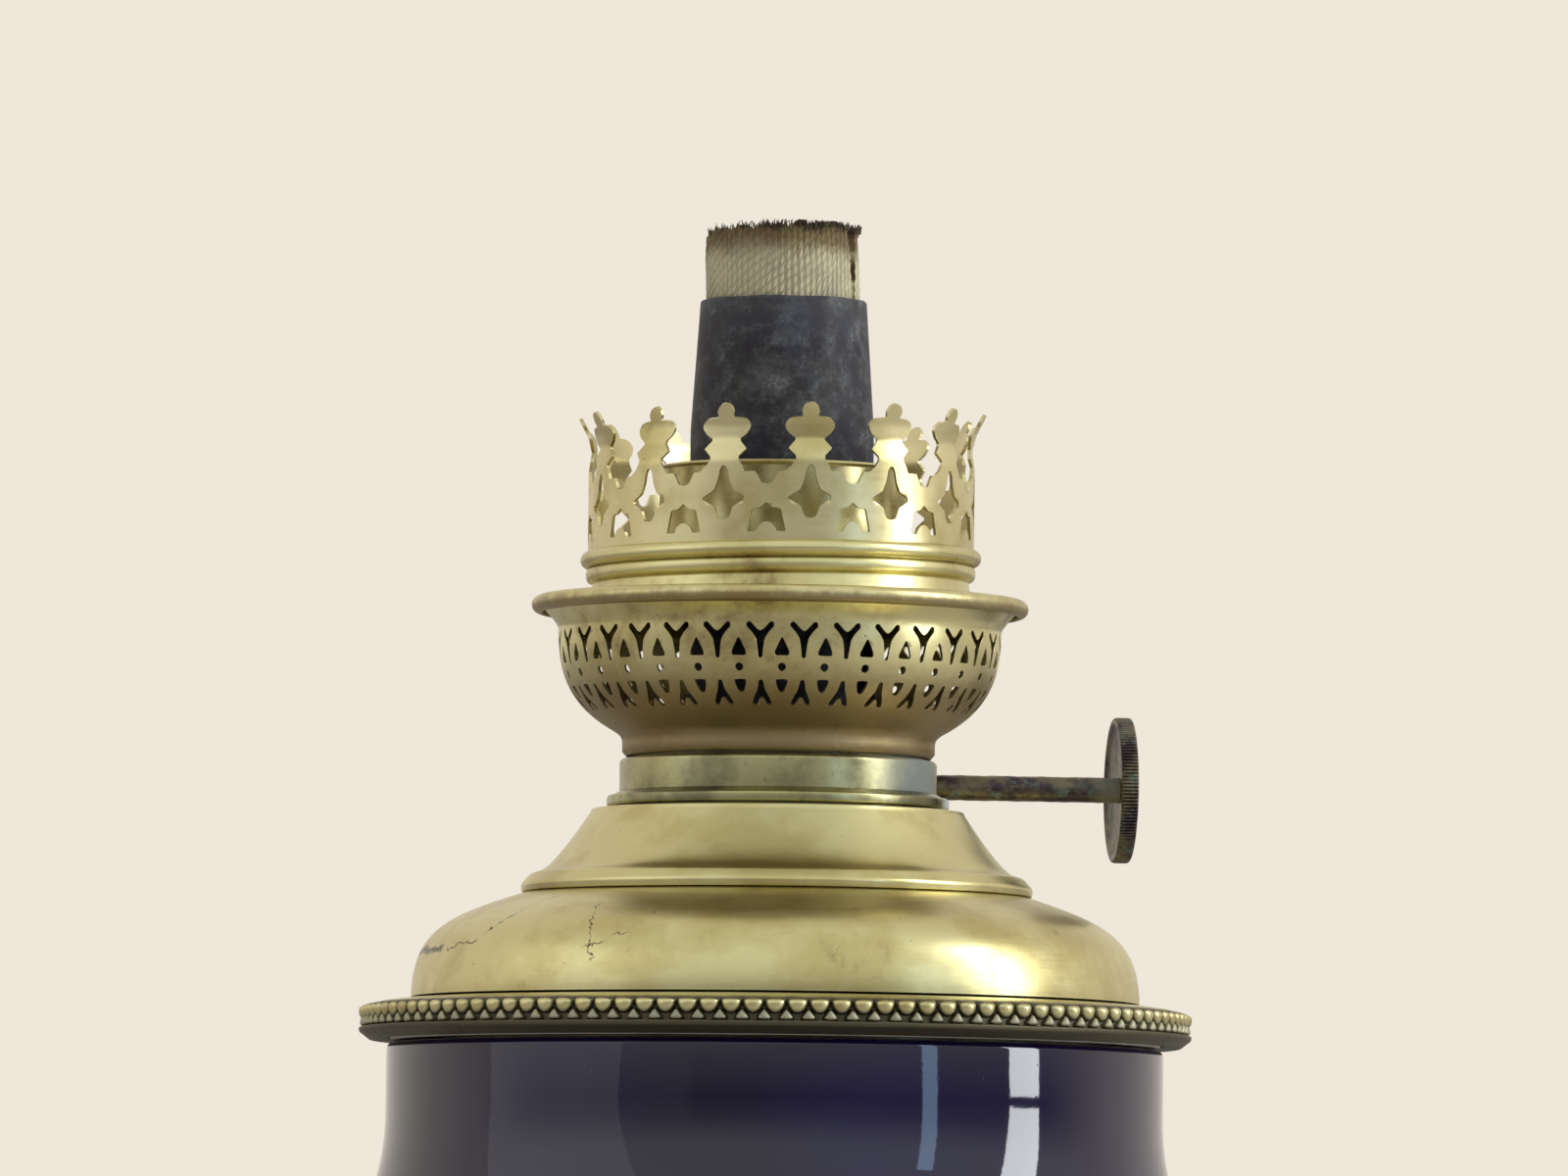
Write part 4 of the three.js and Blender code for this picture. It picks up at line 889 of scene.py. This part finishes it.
def makeCrown():
    c = crown
    low, shoulder, pitch = c["profile"][0][1], c["shoulder"], c["pitch"]
    profile = rising(rounded(c["profile"], False, 6))
    ends = (c["edge"] - 1) * pitch, c["edge"] * pitch
    left, right = (sideLine(x, low, shoulder, c["step"]) for x in ends)
    floor = [(x, low) for x in np.linspace(*ends, 17)[1:-1]]
    half = [(x - pitch / 2, *rest) for x, *rest in c["notch"]] + c["prong"]
    top = half + [(-x, *rest) for x, *rest in reversed(half) if -pitch / 2 + 1.64 < x < -1e-6]
    top = [p for p in top if p[0] > ends[0] + 0.05 and (p[0] < ends[1] - 0.05 or p[1] > shoulder + 0.5)]
    outline = rounded([(ends[0], shoulder), *top, (ends[1], shoulder)], False, 4)
    edge = [left[0], *floor, *right[:-1], *outline[::-1], *left[::-1][1:-1]]
    cells = [rounded(mirrored(c["star"]), steps=4), moved(rounded(c["arch"], steps=3), -pitch / 2)]
    bends = rng.uniform(-c["bend"], c["bend"], c["units"])
    for k, lean in c["leans"].items():  # prongs that age has pushed in
        bends[k] = lean

    def leanOf(k, heights):
        return bends[k] * (np.clip(heights - c["bendFrom"], 0, 9) / 8) ** 1.3

    verts, faces = bentSheet(sheetUnit(edge, cells, c["step"]), c, profile, leanOf)
    verts = crooked(verts)
    shell = piece("crownShell", verts, faces, "crown", "gallery", ["crown_gallery"], sharp=45)
    soften(shell)


def crooked(verts):  # the crown sits a little higher on the winder's side
    turn = math.radians(shot["azimuth"])
    side = verts[:, 0] * math.cos(turn) + verts[:, 1] * math.sin(turn)
    lift = crown["crook"] * side * ramp(verts[:, 2], crown["crookFrom"] * mm, 1.9 * mm)
    return np.stack([verts[:, 0], verts[:, 1], verts[:, 2] + lift], 1)


gallery = {
    "neck": [(33.65, 251.45), (26.85, 251.45, 0.4), (26.4, 253.45, 0.2), (26.8, 253.75)], "top": (27.05, 258.12),
    "airCollar": [(26.3, 254.65), (26.3, 256.15, 0.3), (17.1, 256.15, 0.6), (17.1, 269.2, 0.3), (17.4, 269.55)],
    "wall": 0.45, "collarWall": 0.5,
}


def bulge(x, y, across, up, first, last, count):  # an oval arc, its angles counted from the bottom
    return [(x + across * math.sin(t), y - up * math.cos(t)) for t in np.linspace(first, last, count)]


def makeGallery():
    g = gallery
    roll = bulge(33.65, 250.25, 1.2, 1.2, math.radians(-10), math.pi, 22)
    torus = bulge(26.85, 254.75, 0.5, 1, 0.15, math.pi - 0.15, 11)
    bead = bulge(27.0, 256.9, 1.12, 1.15, 0.1, math.pi - 0.05, 15)
    path = roll + rounded(g["neck"], False)[1:] + torus + bead + [g["top"]]
    spun("galleryShell", walled(path, g["wall"]), "gallery", "gallery", ["crown_gallery"],
         224, sway(0.06, 2, 2), crooked)
    path = rounded(g["airCollar"], False)
    spun("airCollarShell", walled(path, g["collarWall"]), "collar", "gallery", ["air_collar"], 160)


makeBasket()
makeCrown()
makeGallery()
print("gallery made")

# wick

wick = {
    "radius": 10.8, "inner": 8.3, "bottom": 104.0, "detail": 281.0, "reach": 304, "proud": 0.22,
    "gap": 5.0, "slit": 0.4, "closedFrom": 269.4, "closing": 10.0, "gape": 0.14, "gapeFrom": 296, "lean": 0.3,
}
yarnEnds = {"tries": 420, "sunk": 0.6, "over": 0.35, "within": 10.75, "spread": 0.28, "thin": 0.1, "thick": 0.2}


def wickTop(turns):  # burnt lower on one side and ragged all round
    low = np.clip(np.cos(turns - math.radians(-172)), 0, 1)
    ragged = 0.35 * np.sin(turns * 9 + 1) * np.sin(turns * 5)
    return weave["top"] - 0.1 - 1.3 * low ** 2 - ragged - 0.25 * np.sin(turns * 23)


def makeWick():
    w = wick
    detail, reach = w["detail"], w["reach"]
    columns = weave["columns"] * 6
    coarse = [np.linspace(w["bottom"], 250, 30), np.linspace(251.5, detail, 24)[:-1]]
    zs = np.concatenate([*coarse, np.linspace(detail, reach, 112)])
    t = np.linspace(0, 1, columns + 1)
    gap = w["gap"] - (w["gap"] - w["slit"]) * ramp(zs, w["closedFrom"] - w["closing"], w["closing"])
    gap = gap + w["gape"] * np.clip(zs - w["gapeFrom"], 0, 8)  # the slit gapes at the top
    start = np.arcsin(gap / ((w["radius"] + w["inner"]) / 2))[:, None]
    turns = math.radians(ductTurn) + start + (2 * math.pi - 2 * start) * t[None]
    share = ramp(zs, detail, reach - detail)[:, None]
    heights = np.where(share > 0, detail + (wickTop(turns) - detail) * share, zs[:, None])
    column = ((turns / (2 * math.pi)) % 1) * weave["columns"]
    across = column % 1 - 0.5
    course = heights / weave["row"] - across * weave["slant"] + 400 + np.floor(column) * weave["stagger"]
    along = course % 1 - 0.5
    stitch = (1 - np.abs(across * 2) ** 3) * (1 - np.abs(along * 2) ** 3)
    radii = w["radius"] - w["proud"] * (1 - stitch) * (heights > detail - 2)
    radii = radii - 0.25 * ramp(heights, 299, 4) + 0.12 * np.sin(turns * 7) * ramp(heights, 298, 5)
    push = w["lean"] * ramp(heights, 290, 10)[..., None] * np.array([-0.9945, 0.1045, 0])
    sides = [polar(r, turns, heights) + push for r in (radii, w["inner"])]
    verts = np.concatenate([side.reshape(-1, 3) for side in sides]) * mm
    n = columns + 1
    last, back = (len(zs) - 1) * n, len(zs) * n
    faces = []
    for a in (i + j for i in range(0, last, n) for j in range(columns)):
        b, c, d = a + 1, a + n + 1, a + n
        faces += [(a, b, c, d), (a + back, d + back, c + back, b + back)]
    slit = [(a, a + n) for i in range(0, last, n) for a in (i, i + columns)]
    rims = [(a, a + 1) for j in range(columns) for a in (j, last + j)]
    faces += [(a, b, b + back, a + back) for a, b in slit + rims]
    cloth = piece("wickCloth", verts, faces, "cotton", "wick", ["wick"], sharp=60)
    tufts = makeTufts()


def makeTufts():  # charred yarn ends that stand up from the top edge
    w, y = wick, yarnEnds
    spread, sides = y["spread"], 5
    circle = polar(1, np.arange(sides) * 2 * math.pi / sides, 0)
    verts, faces = [], []
    for _ in range(y["tries"]):
        turn = rng.uniform(0, 2 * math.pi)
        if abs((math.degrees(turn) - ductTurn + 180) % 360 - 180) < 4:  # none in the slit
            continue
        radius = w["inner"] + 0.4 + (w["radius"] - w["inner"] - 0.6) * rng.uniform(0.1, 1) ** 0.6
        root = polar(radius, turn, wickTop(turn) - y["sunk"])
        long = rng.uniform(0.8, 1.9)
        lean = np.array([rng.normal(0, spread), rng.normal(0, spread), 1.0])
        tip = root + lean * long
        tip[2] = min(tip[2], weave["top"] + y["over"])
        tip[:2] *= min(1, y["within"] / math.hypot(*tip[:2]))  # inside the tube when the wick is down
        thick = rng.uniform(y["thin"], y["thick"])
        first = len(verts)
        for level, size in ((0, 1), (0.5, 0.85), (1, 0.25)):
            crook = np.array([rng.normal(0, 0.05), rng.normal(0, 0.05), 0]) * level
            middle = root + (tip - root) * level + crook
            verts += [tuple((middle + thick * size * spot) * mm) for spot in circle]
        for ring in range(2):
            for i in range(sides):
                a, b = first + ring * sides + i, first + ring * sides + (i + 1) % sides
                faces.append((a, b, b + sides, a + sides))
        ends = range(first + sides - 1, first - 1, -1), range(first + 2 * sides, first + 3 * sides)
        faces += [tuple(end) for end in ends]
    return piece("wickTufts", verts, faces, "cotton", "wick", sharp=60, weld=1e-9)


makeWick()
print("wick made")

# CAD nodes that stay

kept = {
    "plaster": ["plaster_bed"], "steel": ["tie_bolt", "tie_washer", "tie_nut"],
    "inner": ["fount_collar", "spindle_bracket"], "tube": ["draught_tube", "draught_port"],
    "wheel": ["wick_wheel_left", "wick_wheel_right"],
}
for look, nodes in kept.items():
    for node in nodes:
        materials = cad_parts[node].data.materials
        materials.clear()
        materials.append(finish[look])

# studio

studio = {
    "backdrop": (0.86, 0.80, 0.70), "floor": (0.80, 0.76, 0.70), "fill": 0.42, "fillColor": (1.0, 0.98, 0.95),
    "room": (0.155, 0.14, 0.175), "panel": (0.31, 0.29, 0.35), "ceiling": (0.97, 1.0, 0.95),
    "floorRadius": 8, "aim": 0.22,
    "lamps": [  # name, azimuth, distance, width, height, middle, power, color
        ("window", 72, 1.7, 0.38, 1.4, 0.9, 19, (0.94, 0.97, 1.0)),
        ("slit", 40, 1.9, 0.16, 0.9, 0.55, 1.6, (0.45, 0.68, 1.0)),
        ("left", -75, 2.6, 2.4, 2.0, 1.1, 5.5, (1, 1, 1)),
    ],
}


def makeWorld():
    s = studio
    bpy.context.scene.world = bpy.data.worlds.new("studioWorld")
    sky = Nodes(bpy.context.scene.world, "Generated")
    behind = sky.step(sky.y, -0.25, 0.35)  # the room on the camera's side is dim low down
    panel = sky.step(sky.x, -0.46, -0.56)
    high = sky.step(sky.z, -0.05, 0.32)
    path = sky.tree.nodes.new("ShaderNodeLightPath").outputs
    seen, glossy, through = (Sock(sky, path[f"Is {ray} Ray"]) for ray in ("Camera", "Glossy", "Transmission"))
    dim = sky.mix(sky.mix(s["room"], s["panel"], panel), s["ceiling"], high)
    shown = sky.mix(dim, s["backdrop"], behind.maths("MAXIMUM", seen))
    direct = seen.maths("MAXIMUM", glossy.maths("MAXIMUM", through))
    background = sky.tree.nodes["Background"]
    sky.feed(background.inputs["Color"], sky.mix(s["fillColor"], shown, direct))
    sky.feed(background.inputs["Strength"], direct + (1 - direct) * s["fill"])


def makeLamps():
    for name, azimuth, distance, width, height, middle, power, color in studio["lamps"]:
        data = bpy.data.lights.new(name, "AREA")
        data.shape, data.size, data.size_y = "RECTANGLE", width, height
        data.energy, data.color = power, color
        light = placed(name, data)
        turn = math.radians(azimuth)
        light.location = (math.sin(turn) * distance, -math.cos(turn) * distance, middle)
        aim = Vector((0, 0, studio["aim"])) - light.location
        light.rotation_euler = aim.to_track_quat("-Z", "Y").to_euler()
        light.visible_camera = False


def makeFloor():
    sides, pale = 96, studio["floor"]
    paint = Paint("paleFloor")
    paint.done(paint.mix(pale, tuple(c * 0.985 for c in pale), paint.noise(4, 3, 0.6)), 0.0, 0.9)
    edge = polar(studio["floorRadius"], np.arange(sides) * 2 * math.pi / sides, -0.0002)
    mesh = bpy.data.meshes.new("studioFloor")
    mesh.from_pydata([tuple(v) for v in edge], [], [tuple(range(sides))])
    mesh.materials.append(paint.material)
    floor = placed("studioFloor", mesh)


makeWorld()
makeLamps()
makeFloor()
bpy.context.scene.view_settings.view_transform = "Standard"
bpy.context.view_layer.update()
